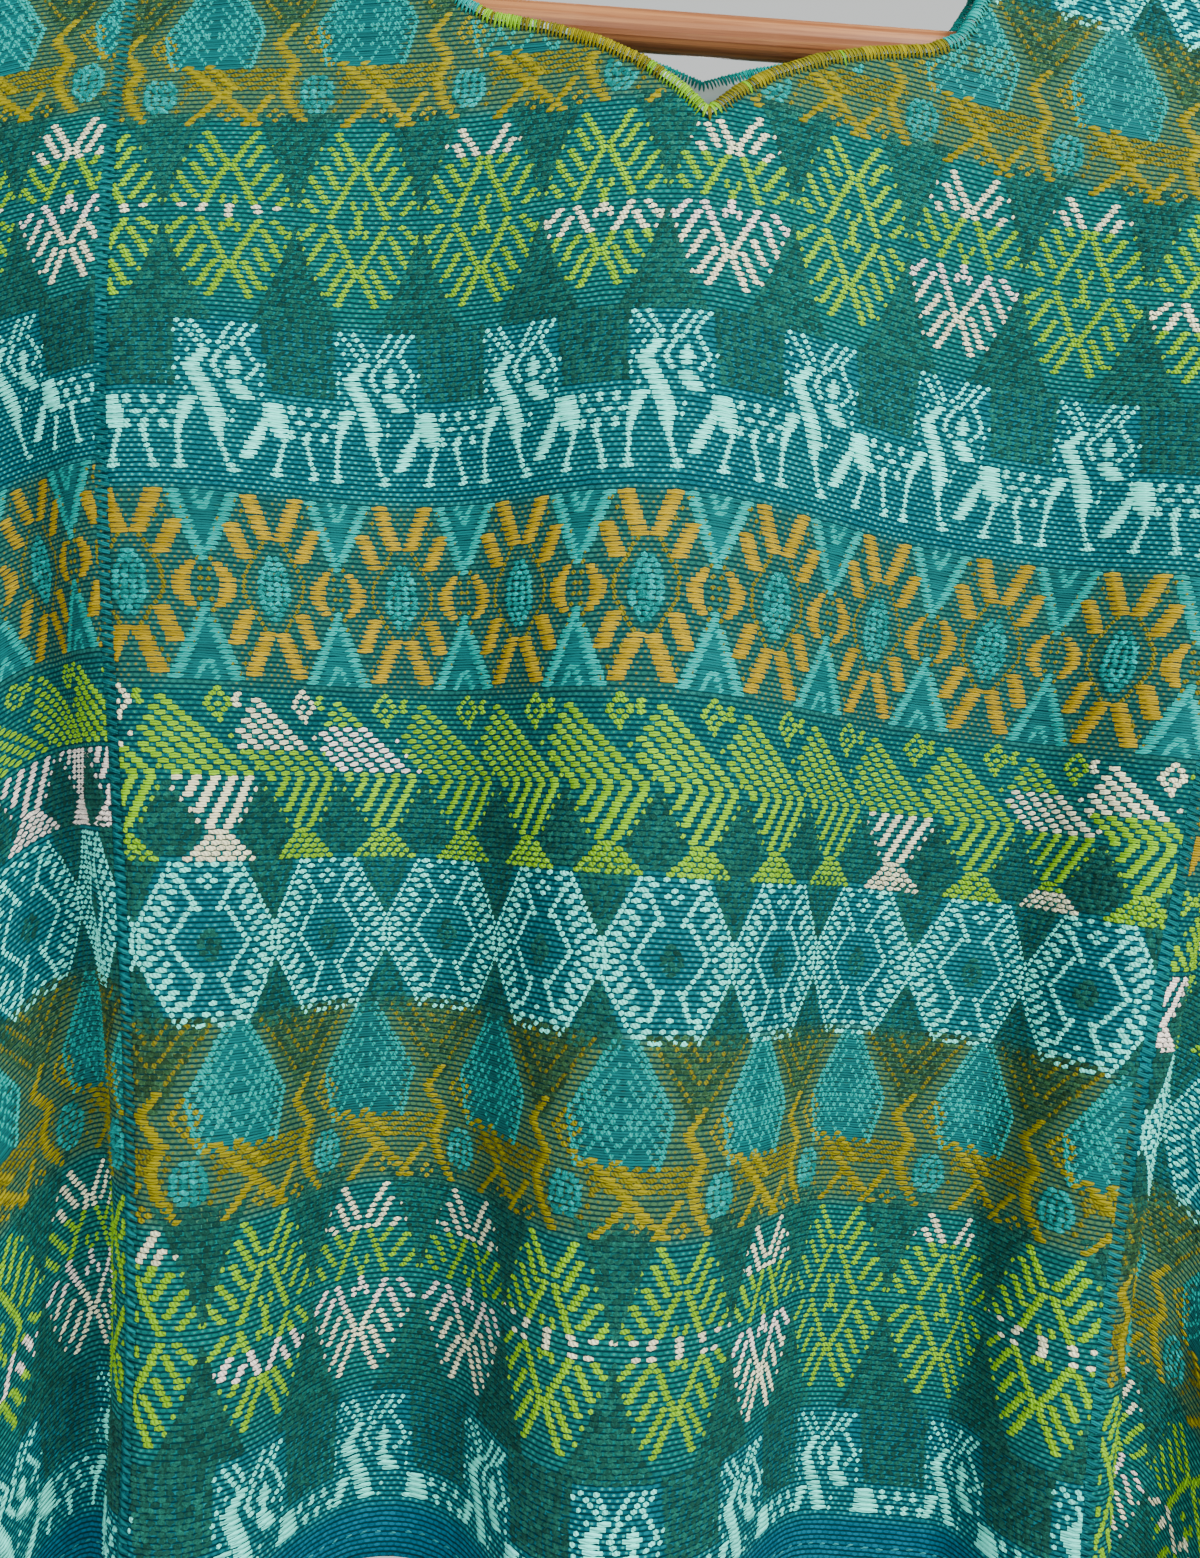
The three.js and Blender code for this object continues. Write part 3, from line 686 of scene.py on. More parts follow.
@dataclass
class Pattern:
    """Sets the bands out on the panels and turns them into stitches.

    Stitches are kept as arrays by name, one entry for each stitch: left, right, down, slant, half, high,
    kind and rgb.

    Args:
        cloth: the surface that they lie on.
        repeat: length of one repeat of the bands.
        hem: depth at which the bands stop.
        row: from one row of stitches to the next, on the front and the back.
        knot: usual length of a knot of filling, on the front and the back.
        seam_step: from one joining stitch to the next.
        hem_step: from one running stitch of the hem to the next.
        repeats: the bands of one repeat.
    """

    cloth: HungCloth
    repeat: float = 382.0
    hem: float = 607.0
    row: dict[Sheet, float] = field(default_factory=lambda: {Sheet.FRONT: 1.8, Sheet.BACK: 2.6})
    knot: dict[Sheet, float] = field(default_factory=lambda: {Sheet.FRONT: 2.9, Sheet.BACK: 4.2})
    seam_step: float = 2.7
    hem_step: float = 5.6
    repeats: tuple[Band, ...] = field(default_factory=bands)

    def placed(self, panel: PanelCut, sheet: Sheet) -> list[Figure]:
        """Every figure on one face of a panel."""
        out = []
        for turn in (-1, 0, 1):
            for band in self.repeats:
                top = band.top + turn * self.repeat + panel.shift
                if top + band.height < -2 or top > self.hem:
                    continue
                step = band.pitch * PX
                slide = 0.0 if sheet is Sheet.FRONT else 0.37 * step
                first = panel.left + band.start * PX - step + slide + 3.0 * turn
                count = int((panel.right - panel.left) / step) + 4
                out += [Figure(band, top, first + n * step) for n in range(count)]
        return out

    def stitches(self, panel: PanelCut, sheet: Sheet) -> Run:
        """Rows of stitches on one face of a panel.

        Args:
            panel: the loom panel.
            sheet: front or back.

        Returns:
            Arrays by name.
        """
        rng = np.random.default_rng(len(panel.node) * 11 + (5 if sheet is Sheet.BACK else 0))
        runs = []
        for figure in self.placed(panel, sheet):
            lean, tint = rng.uniform(-1.2, 1.2), rng.uniform(0.88, 1.12)
            zones = figure.band.motif.zones
            zone = zones[rng.integers(len(zones))]
            for stroke in figure.band.motif.strokes:
                run = self._rows(stroke, figure, sheet, lean, zone, rng)
                run["rgb"] = run["rgb"] * tint * rng.uniform(0.82, 1.15, (len(run["down"]), 1))
                run["high"] = stroke.high * rng.uniform(0.85, 1.15, len(run["down"]))
                runs.append(self._trimmed(run, panel, sheet))
        if panel.is_centre:
            runs += [self._joining(seam, sheet) for seam in (panel.left, panel.right)]
        runs.append(self._hem_stitches(panel, sheet))
        return {name: np.concatenate([run[name] for run in runs]) for name in runs[-1]}

    def _rows(self, stroke: Stroke, figure: Figure, sheet: Sheet, lean: float,
              zone: tuple[tuple[float, Yarn], ...], rng: np.random.Generator) -> Run:
        """The stitches of one stroke, one to a row.

        Args:
            stroke: what to lay.
            figure: the figure it belongs to.
            sheet: front or back.
            lean: how far the figure's foot lies to one side of its top.
            zone: (down to, yarn) of the figure's own yarns.
            rng: source of unevenness.

        Returns:
            Arrays by name, without high.
        """
        pitch, is_knot, wide = self.row[sheet], stroke.stitch is Stitch.KNOT, figure.band.wide
        ys, xs, ws = (np.array(v, float) for v in zip(*stroke.path))
        y0, y1 = figure.top + ys[0] * PX, figure.top + ys[-1] * PX
        rows = np.arange(math.ceil(y0 / pitch - 0.5), math.floor(y1 / pitch - 0.5) + 1)
        if not len(rows):
            rows = np.array([round((y0 + y1) / 2 / pitch - 0.5)])
        if stroke.skip > 1:
            rows = rows[rows % stroke.skip == stroke.phase]
        down = (rows + 0.5) * pitch
        chart = (down - figure.top) / PX
        across = figure.middle + np.interp(chart, ys, xs) * PX * wide + lean * (chart / 200 - 0.5)
        width = np.interp(chart, ys, ws) * PX * (1 if is_knot else wide)
        across = across + rng.normal(0, 0.2 if is_knot else 0.12, len(rows))
        loose = 0.10 if is_knot else 0.035
        width = width * rng.uniform(1 - loose, 1 + loose, len(rows))
        left, right = across - width / 2, across + width / 2
        if stroke.yarn is None:
            limits = np.array([limit for limit, _ in zone])
            colours = np.array([yarn.rgb for _, yarn in zone])
            rgb = colours[np.minimum(np.searchsorted(limits, chart), len(zone) - 1)]
        else:
            rgb = np.tile(stroke.yarn.rgb, (len(rows), 1))
        if stroke.stitch is Stitch.FILL:
            left, right, run = self._knotted(left, right, self.knot[sheet], rng)
            down, rgb = down[run], rgb[run] * rng.uniform(0.6, 1.35, (len(run), 1))
        same = np.ones(len(down))
        return {"left": left, "right": right, "down": down, "slant": 0 * same, "half": same * (pitch * 0.5),
                "kind": same * stroke.stitch.value, "rgb": rgb}

    def _trimmed(self, run: Run, panel: PanelCut, sheet: Sheet) -> Run:
        """Keeps stitches off the seams, the hem and the neck opening.

        Args:
            run: arrays by name.
            panel: the loom panel.
            sheet: front or back.

        Returns:
            Arrays of the stitches that are left; down becomes a place along the cloth.
        """
        margin, least, neck_margin = 2.2, 0.8, 3.0
        left, right, down = run["left"], run["right"], run["down"]
        keep = (down > 1) & (down < self.hem - 1)
        left, right = np.maximum(left, panel.left + margin), np.minimum(right, panel.right - margin)
        keep &= right - left > least
        side = sheet.value * down
        inner = self.cloth.neck_half(side) + neck_margin
        in_neck = (inner > neck_margin) & (right > -inner) & (left < inner)
        left = np.where(in_neck & (left > 0), np.maximum(left, inner), left)
        right = np.where(in_neck & (right < 0), np.minimum(right, -inner), right)
        cross = in_neck & (left < inner) & (right > -inner)
        left = np.where(cross & ((left + right) > 0), inner, left)
        right = np.where(cross & ((left + right) <= 0), -inner, right)
        keep &= right - left > least
        keep &= self.cloth.neck_half(side - sheet.value * 4.0) <= np.minimum(abs(left), abs(right))
        run = {**run, "left": left, "right": right, "down": side}
        return {name: value[keep] for name, value in run.items()}

    @staticmethod
    def _knotted(left: np.ndarray, right: np.ndarray, size: float,
                 rng: np.random.Generator) -> tuple[np.ndarray, np.ndarray, np.ndarray]:
        """Parts runs of filling into separate knots.

        Args:
            left: left ends of the runs.
            right: right ends of the runs.
            size: usual length of a knot.
            rng: source of unevenness.

        Returns:
            Left ends, right ends, and the number of the run that each knot lies in.
        """
        count = np.maximum(1, np.round((right - left) / size + rng.uniform(-0.3, 0.3, len(left)))).astype(int)
        run = np.repeat(np.arange(len(left)), count)
        turn = np.arange(len(run)) - np.repeat(np.cumsum(count) - count, count)
        each = ((right - left) / count)[run]
        start = left[run] + turn * each + rng.normal(0, 0.12, len(run))
        return start, start + each - 0.25, run

    @staticmethod
    def _floats(left: np.ndarray, right: np.ndarray, down: np.ndarray, slant: np.ndarray | float,
                half: float, high: float, rgb: np.ndarray) -> Run:
        """Floats of one thickness, as arrays by name."""
        same = np.ones(len(left))
        return {"left": left, "right": right, "down": down, "slant": same * slant, "half": same * half,
                "kind": same * Stitch.FLOAT.value, "rgb": rgb, "high": same * high}

    def _joining(self, seam: float, sheet: Sheet) -> Run:
        """Slanted stitches that join two panels.

        Args:
            seam: place of the seam across.
            sheet: front or back.

        Returns:
            Arrays by name.
        """
        rng = np.random.default_rng(int(abs(seam)) + sheet.value)
        depth = np.arange(2.0, self.cloth.length - 2, self.seam_step)
        count = len(depth)
        reach = 2.3 + rng.normal(0, 0.25, count)
        tone = np.where((depth // 61) % 2 > 0, 0.8, 1.15) * rng.uniform(0.8, 1.15, count)
        right = seam + reach + rng.normal(0, 0.2, count)
        return self._floats(seam - reach, right, sheet.value * depth, 1.5 * sheet.value, 0.75, 1.25,
                            np.array([[0.0, 0.13, 0.14]]) * tone[:, None])

    def _hem_stitches(self, panel: PanelCut, sheet: Sheet) -> Run:
        """Small running stitches that hold the turned hem.

        Args:
            panel: the loom panel.
            sheet: front or back.

        Returns:
            Arrays by name.
        """
        rng = np.random.default_rng(int(panel.right - panel.left) + sheet.value)
        left = np.arange(panel.left + 4, panel.right - 5, self.hem_step)
        count = len(left)
        level = self.cloth.length - 9.0 + rng.normal(0, 0.25, count)
        right = left + rng.uniform(2.6, 3.4, count)
        return self._floats(left, right, sheet.value * level, rng.normal(0, 0.3, count), 0.5, 0.7,
                            np.array([[0.02, 0.22, 0.24]]) * rng.uniform(0.8, 1.2, (count, 1)))

    def ground(self, u: np.ndarray, s: np.ndarray, panel: PanelCut) -> tuple[np.ndarray, np.ndarray]:
        """Colour of the ground and of the dots inlaid in it.

        Args:
            u: places across.
            s: places along.
            panel: the loom panel they are on.

        Returns:
            Ground colours, and dot colours with their strength as a fourth value.
        """
        depth = np.abs(s)
        ground = np.tile(np.array(HEM_GROUND), (len(u), 1))
        dots = np.zeros((len(u), 4))
        for sheet in Sheet:
            here = (s < 0) if sheet is Sheet.FRONT else (s >= 0)
            for figure in self.placed(panel, sheet):
                band, top = figure.band, figure.top
                in_band = here & (depth >= top) & (depth < top + band.height) & (depth < self.hem)
                ground[in_band] = band.ground
                if not band.motif.inlay:
                    continue
                ys, hs = (np.array(v, float) for v in zip(*band.motif.inlay))
                half = np.interp((depth - top) / PX, ys, hs) * PX * band.wide
                inside = in_band & (np.abs(u - figure.middle) < half)
                dots[inside, :3] = band.motif.dots.rgb
                dots[inside, 3] = 1.0
        dots[:, :3] = np.where(dots[:, 3:] > 0, dots[:, :3], ground * 1.6)
        return ground, dots


# Finishes


@dataclass
class Graph:
    """A material under construction."""

    name: str
    material: Material = field(init=False)

    def __post_init__(self) -> None:
        """Makes the material and its shader."""
        self.material = bpy.data.materials.new(self.name)
        self.material.use_nodes = True
        self.nodes = self.material.node_tree.nodes
        self.links = self.material.node_tree.links
        self.shader = self.nodes["Principled BSDF"]

    def node(self, kind: str, **settings: object) -> bpy.types.Node:
        """Adds a node and sets its properties."""
        node = self.nodes.new(kind)
        for key, value in settings.items():
            setattr(node, key, value)
        return node

    def put(self, socket: Socket, value: object) -> None:
        """Links a socket to another, or sets its plain value."""
        if isinstance(value, Socket):
            self.links.new(value, socket)
        else:
            socket.default_value = value

    def math(self, operation: str, a: object, b: object = 0.0, c: object = 0.0) -> Socket:
        """A math node's result."""
        node = self.node("ShaderNodeMath", operation=operation)
        for socket, value in zip(node.inputs, (a, b, c)):
            self.put(socket, value)
        return node.outputs[0]

    def mix(self, share: object, a: object, b: object, blend: str = "MIX") -> Socket:
        """A colour mix."""
        node = self.node("ShaderNodeMix", data_type="RGBA", blend_type=blend)
        self.put(node.inputs[0], share)
        self.put(node.inputs[6], a)
        self.put(node.inputs[7], b)
        return node.outputs[2]

    def range(self, value: object, low: float, high: float, to_low: float = 0.0,
              to_high: float = 1.0) -> Socket:
        """A smooth map from one range to another."""
        node = self.node("ShaderNodeMapRange", interpolation_type="SMOOTHSTEP")
        for socket, number in zip(node.inputs, (value, low, high, to_low, to_high)):
            self.put(socket, number)
        return node.outputs[0]

    def noise(self, vector: object, scale: float, detail: float = 2.0, rough: float = 0.5) -> Socket:
        """Noise in a vector's space."""
        node = self.node("ShaderNodeTexNoise")
        self.put(node.inputs["Vector"], vector)
        self.put(node.inputs["Scale"], scale)
        self.put(node.inputs["Detail"], detail)
        self.put(node.inputs["Roughness"], rough)
        return node.outputs["Fac"]

    def stretch(self, vector: object, x: float, y: float, z: float) -> Socket:
        """A vector scaled along its axes."""
        node = self.node("ShaderNodeVectorMath", operation="MULTIPLY")
        self.put(node.inputs[0], vector)
        node.inputs[1].default_value = (x, y, z)
        return node.outputs[0]

    def off_middle(self, value: object) -> Socket:
        """How far a running number is from the middle of its cell."""
        return self.math("ABSOLUTE", self.math("SUBTRACT", self.math("FRACT", value), 0.5))

    def oval(self, x: object, y: object, wide: float, tall: float, powers: Point = (2.0, 2.0)) -> Socket:
        """A number that is 1 on an oval's outline and falls to 0 at its middle."""
        return self.math("ADD", self.math("POWER", self.math("DIVIDE", x, wide), powers[0]),
                         self.math("POWER", self.math("DIVIDE", y, tall), powers[1]))

    def grey(self, value: object) -> Socket:
        """A number as a colour."""
        node = self.node("ShaderNodeCombineColor")
        for socket in node.inputs[:3]:
            self.put(socket, value)
        return node.outputs[0]

    def uv_map(self, name: str) -> tuple[Socket, Socket, Socket]:
        """A UV map as its vector and its two parts."""
        node = self.node("ShaderNodeUVMap", uv_map=name)
        split = self.node("ShaderNodeSeparateXYZ")
        self.links.new(node.outputs[0], split.inputs[0])
        return node.outputs[0], split.outputs[0], split.outputs[1]

    def attribute(self, name: str) -> bpy.types.Node:
        """A mesh attribute."""
        return self.node("ShaderNodeAttribute", attribute_name=name)

    def finish(self, colour: object, rough: object, height: object = None, depth: float = 0.0002,
               strength: float = 1.0, **plain: float) -> Material:
        """Wires the shader up.

        Args:
            colour: base colour.
            rough: roughness.
            height: bump height from 0 to 1, if any.
            depth: what a height of 1 stands for, in metres.
            strength: how strongly the bump shows.
            plain: other sockets, by name.

        Returns:
            The material.
        """
        self.put(self.shader.inputs["Base Color"], colour)
        self.put(self.shader.inputs["Roughness"], rough)
        if height is not None:
            bump = self.node("ShaderNodeBump")
            self.put(bump.inputs["Height"], height)
            bump.inputs["Distance"].default_value = depth
            bump.inputs["Strength"].default_value = strength
            self.links.new(bump.outputs[0], self.shader.inputs["Normal"])
        for key, value in plain.items():
            self.shader.inputs[key].default_value = value
        return self.material

    def open_behind(self) -> None:
        """Lets the material be seen through from behind its faces."""
        behind = self.node("ShaderNodeNewGeometry").outputs["Backfacing"]
        choose, clear = self.node("ShaderNodeMixShader"), self.node("ShaderNodeBsdfTransparent")
        self.put(choose.inputs[0], behind)
        self.put(choose.inputs[1], self.shader.outputs[0])
        self.put(choose.inputs[2], clear.outputs[0])
        self.put(self.nodes["Material Output"].inputs["Surface"], choose.outputs[0])


@dataclass(frozen=True)
class GroundWeave:
    """The ribbed ground cloth: short dashes in offset rows with painted shade between them, dotted where a
    figure is inlaid.

    Args:
        dash_width: half-width of a dash, in cells of the weave.
        dash_height: its half-height.
        dot: half-width and half-height of an inlaid dot.
        rib: how much of a row shows between its dashes.
        rows_ahead: an even number of rows that keeps every row's number above zero.
        gap_shade: colour between the rows, painted shade in the hollows where the threads dip.
    """

    dash_width: float = 0.49
    dash_height: float = 0.40
    dot: Point = (0.20, 0.24)
    rib: float = 0.62
    rows_ahead: float = 4000.0
    gap_shade: Colour = (0.0, 0.024, 0.030, 1.0)

    def build(self) -> Material:
        """Makes the material."""
        g = Graph("ground_weave")
        vector, u, v = g.uv_map("weave")
        wobble = g.math("MULTIPLY_ADD", g.noise(vector, 0.35, 3.0), 0.5, -0.25)
        v = g.math("ADD", v, wobble)
        row = g.math("FLOOR", v)
        odd = g.math("MULTIPLY", g.math("MODULO", g.math("ADD", row, self.rows_ahead), 2.0), 0.5)
        shifted = g.math("ADD", u, odd)
        fx, fy = g.off_middle(shifted), g.off_middle(v)
        oval = g.oval(fx, fy, self.dash_width, self.dash_height, (2.6, 2.2))
        rib = g.math("MULTIPLY", g.range(fy, 0.46, 0.20), self.rib)
        dash = g.math("MAXIMUM", g.range(oval, 1.15, 0.35), rib)
        thread = g.noise(g.stretch(vector, 1.6, 5.0, 1.0), 1.0, 3.0, 0.65)
        cell = g.node("ShaderNodeTexWhiteNoise", noise_dimensions="2D")
        pair = g.node("ShaderNodeCombineXYZ")
        g.put(pair.inputs[0], g.math("FLOOR", shifted))
        g.put(pair.inputs[1], row)
        g.links.new(pair.outputs[0], cell.inputs["Vector"])
        spread = g.math("MULTIPLY_ADD", cell.outputs["Value"], 0.55, 0.75)
        ground = g.attribute("ground").outputs["Color"]
        wear = g.noise(vector, 0.045, 4.0, 0.6)
        worn = g.mix(g.range(wear, 0.3, 0.7), (0.85, 0.9, 0.95, 1), (1.2, 1.12, 1.05, 1))
        lit = g.mix(1.0, ground, worn, "MULTIPLY")
        shade = g.math("MULTIPLY_ADD", thread, 0.9, g.math("MULTIPLY", spread, 0.85))
        tone = g.mix(1.0, lit, g.grey(shade), "MULTIPLY")
        dots = g.attribute("dots")
        dot = g.math("MULTIPLY", g.range(g.oval(fx, fy, *self.dot), 1.2, 0.5), dots.outputs["Alpha"])
        dot = g.math("MULTIPLY", dot, g.range(cell.outputs["Value"], 0.1, 0.45))
        # Painted shade: the dark gap colour fills the low hollows between the rows, and more faintly the
        # places between the dashes.
        dashed = g.mix(dash, self.gap_shade, tone)
        colour = g.mix(dot, dashed, dots.outputs["Color"])
        height = g.math("ADD", g.math("MULTIPLY", dash, 0.75), g.math("MULTIPLY", thread, 0.3))
        height = g.math("ADD", height, g.math("MULTIPLY", dot, 0.4))
        return g.finish(colour, 0.88, height, 0.0005, 0.9, **{"Specular IOR Level": 0.06})


@dataclass(frozen=True)
class BrocadeYarn:
    """Thick soft yarn of the raised stitches: laid strands, plump knots or a crinkled fill, with painted
    shade and highlights.

    Args:
        strands: strands side by side in a float.
        fill_shade: how much darker the filling is.
    """

    strands: float = 2.0
    fill_shade: float = 0.16

    def build(self) -> Material:
        """Makes the material."""
        g = Graph("brocade_yarn")
        vector, u, v = g.uv_map("lay")
        kind = g.attribute("kind").outputs["Fac"]
        yarn = g.attribute("yarn").outputs["Color"]
        is_knot = g.math("COMPARE", kind, 1.0, 0.3)
        is_fill = g.math("COMPARE", kind, 2.0, 0.3)
        across = g.math("FRACT", v)
        strand = g.math("ABSOLUTE", g.math("SINE", g.math("MULTIPLY", across, math.pi * self.strands)))
        turn = g.math("ADD", g.math("MULTIPLY", u, 2.2), g.math("MULTIPLY", across, 3.0))
        twist = g.math("ABSOLUTE", g.math("SINE", turn))
        crinkle = g.noise(g.stretch(vector, 1.0, 1.5, 1.0), 1.1, 3.0, 0.7)
        fibre = g.noise(g.stretch(vector, 1.2, 7.0, 1.0), 1.0, 3.0, 0.7)
        base = g.mix(is_knot, strand, twist)
        relief = g.node("ShaderNodeSeparateColor")
        g.links.new(g.mix(is_fill, base, g.range(crinkle, 0.40, 0.60)), relief.inputs[0])
        height = relief.outputs[0]
        # Painted shade: each stitch is darkened towards its long edges, where it dips into the cloth, more
        # deeply for knots and filling.
        side = g.math("ABSOLUTE", g.math("SUBTRACT", across, 0.5))
        loose = g.math("MAXIMUM", is_knot, is_fill)
        depth = g.math("MULTIPLY_ADD", loose, 0.42, 0.26)
        edge = g.math("SUBTRACT", 1.0, g.math("MULTIPLY", g.range(side, 0.30, 0.5), depth))
        # Painted highlight and shade: crowns of strands, twists and crinkles are lightened and the hollows
        # between them darkened; the filling is darkened further, and the fibre noise adds random tone.
        shade = g.math("MULTIPLY", g.math("MULTIPLY_ADD", height, 0.46, 0.66), edge)
        shade = g.math("MULTIPLY", shade, g.math("MULTIPLY_ADD", is_fill, -self.fill_shade, 1.0))
        shade = g.math("MULTIPLY", shade, g.math("MULTIPLY_ADD", fibre, 0.55, 0.75))
        colour = g.mix(1.0, yarn, g.grey(shade), "MULTIPLY")
        full = g.math("ADD", g.math("MULTIPLY", height, 0.8), g.math("MULTIPLY", fibre, 0.4))
        return g.finish(colour, 0.72, full, 0.00035, 0.9, **{"Specular IOR Level": 0.10})


@dataclass(frozen=True)
class SatinRibbon:
    """Pale mint binding ribbon with a fine crosswise rib and a worn fold."""

    pale: Colour = (0.70, 0.86, 0.80, 1.0)
    shade: Colour = (0.40, 0.66, 0.60, 1.0)

    def build(self) -> Material:
        """Makes the material."""
        g = Graph("satin_ribbon")
        place = g.node("ShaderNodeTexCoord").outputs["Object"]
        weave = g.noise(g.stretch(place, 3.0, 3.0, 9.0), 260.0, 2.0, 0.6)
        cloud = g.noise(place, 38.0, 4.0, 0.6)
        colour = g.mix(g.range(cloud, 0.3, 0.7), self.shade, self.pale)
        return g.finish(colour, 0.42, weave, 0.0002, 0.5, **{"Sheen Weight": 0.2})


@dataclass(frozen=True)
class VarnishedWood:
    """Reddish brown wood with grain along X.

    Args:
        name: the material's name.
        light: early wood colour.
        dark: late wood colour.
        rubbed: colour where the varnish is worn.
    """

    name: str
    light: Colour
    dark: Colour
    rubbed: Colour = (0.58, 0.32, 0.15, 1.0)

    def build(self) -> Material:
        """Makes the material."""
        g = Graph(self.name)
        place = g.node("ShaderNodeTexCoord").outputs["Object"]
        warp = g.noise(g.stretch(place, 3.0, 30.0, 30.0), 1.0, 3.0)
        bent = g.node("ShaderNodeVectorMath", operation="ADD")
        g.put(bent.inputs[0], g.stretch(place, 5.0, 420.0, 420.0))
        g.put(bent.inputs[1], warp)
        rings = g.noise(bent.outputs[0], 1.0, 6.0, 0.62)
        pores = g.noise(g.stretch(place, 60.0, 2600.0, 2600.0), 1.0, 2.0, 0.5)
        tone = g.mix(g.range(rings, 0.36, 0.64), self.dark, self.light)
        wear = g.noise(place, 14.0, 5.0, 0.65)
        tone = g.mix(g.range(wear, 0.45, 0.75, 0.0, 0.3), tone, self.rubbed)
        pore = (*(c * 0.45 for c in self.dark[:3]), 1.0)
        colour = g.mix(g.range(pores, 0.62, 0.72, 0.0, 0.5), tone, pore)
        rough = g.range(rings, 0.3, 0.7, 0.34, 0.5)
        height = g.math("ADD", g.math("MULTIPLY", rings, 0.5), g.math("MULTIPLY", pores, -0.4))
        return g.finish(colour, rough, height, 0.0002, 0.5, **{"Coat Weight": 0.15, "Coat Roughness": 0.25})


@dataclass(frozen=True)
class PolishedWire:
    """Plated steel wire with fine drawn lines and a little handling wear."""

    bright: Colour = (0.72, 0.73, 0.74, 1.0)
    dull: Colour = (0.46, 0.46, 0.45, 1.0)

    def build(self) -> Material:
        """Makes the material."""
        g = Graph("polished_wire")
        place = g.node("ShaderNodeTexCoord").outputs["Object"]
        wear = g.noise(place, 90.0, 4.0, 0.7)
        lines = g.noise(g.stretch(place, 900.0, 900.0, 60.0), 1.0, 2.0)
        colour = g.mix(g.range(wear, 0.45, 0.7), self.bright, self.dull)
        return g.finish(colour, g.range(wear, 0.35, 0.75, 0.18, 0.42), lines, 0.0001, 0.2, Metallic=1.0)


# Meshes


def mesh_object(name: str, points: np.ndarray, faces: np.ndarray, material: Material) -> Object:
    """A smooth-shaded object from points in millimetres.

    Args:
        name: the object's name.
        points: one row each.
        faces: quads, as point numbers.
        material: its finish.

    Returns:
        The object, linked to the scene.
    """
    mesh = bpy.data.meshes.new(name)
    mesh.vertices.add(len(points))
    mesh.vertices.foreach_set("co", (points * MM).astype(np.float32).ravel())
    mesh.loops.add(faces.size)
    mesh.loops.foreach_set("vertex_index", faces.astype(np.int32).ravel())
    mesh.polygons.add(len(faces))
    mesh.polygons.foreach_set("loop_start", np.arange(0, faces.size, 4, dtype=np.int32))
    mesh.update(calc_edges=True)
    mesh.polygons.foreach_set("use_smooth", np.ones(len(faces), bool))
    mesh.materials.append(material)
    obj = bpy.data.objects.new(name, mesh)
    bpy.context.scene.collection.objects.link(obj)
    return obj


def set_uv(obj: Object, name: str, per_point: np.ndarray) -> None:
    """Writes a UV map from one pair of numbers for each point."""
    mesh = obj.data
    index = np.empty(len(mesh.loops), np.int32)
    mesh.loops.foreach_get("vertex_index", index)
    layer = mesh.uv_layers.new(name=name)
    layer.data.foreach_set("uv", per_point[index].astype(np.float32).ravel())


def set_colour(obj: Object, name: str, rgb: np.ndarray, alpha: np.ndarray | float = 1.0) -> None:
    """Writes a colour attribute from one colour for each point."""
    data = np.ones((len(rgb), 4), np.float32)
    data[:, :3] = rgb
    data[:, 3] = alpha
    layer = obj.data.attributes.new(name, "FLOAT_COLOR", "POINT")
    layer.data.foreach_set("color", data.ravel())


def set_number(obj: Object, name: str, values: np.ndarray) -> None:
    """Writes a number attribute from one number for each point."""
    layer = obj.data.attributes.new(name, "FLOAT", "POINT")
    layer.data.foreach_set("value", values.astype(np.float32))


def strip_quads(ids: np.ndarray) -> np.ndarray:
    """Quads of many strips.

    Args:
        ids: point numbers, strips by stations by places across.

    Returns:
        The quads, one row each.
    """
    return np.stack([ids[:, :-1, :-1], ids[:, 1:, :-1], ids[:, 1:, 1:], ids[:, :-1, 1:]], -1).reshape(-1, 4)


def face_outward(obj: Object) -> None:
    """Turns a closed mesh's faces outward."""
    form = bmesh.new()
    form.from_mesh(obj.data)
    bmesh.ops.recalc_face_normals(form, faces=form.faces)
    form.to_mesh(obj.data)
    form.free()


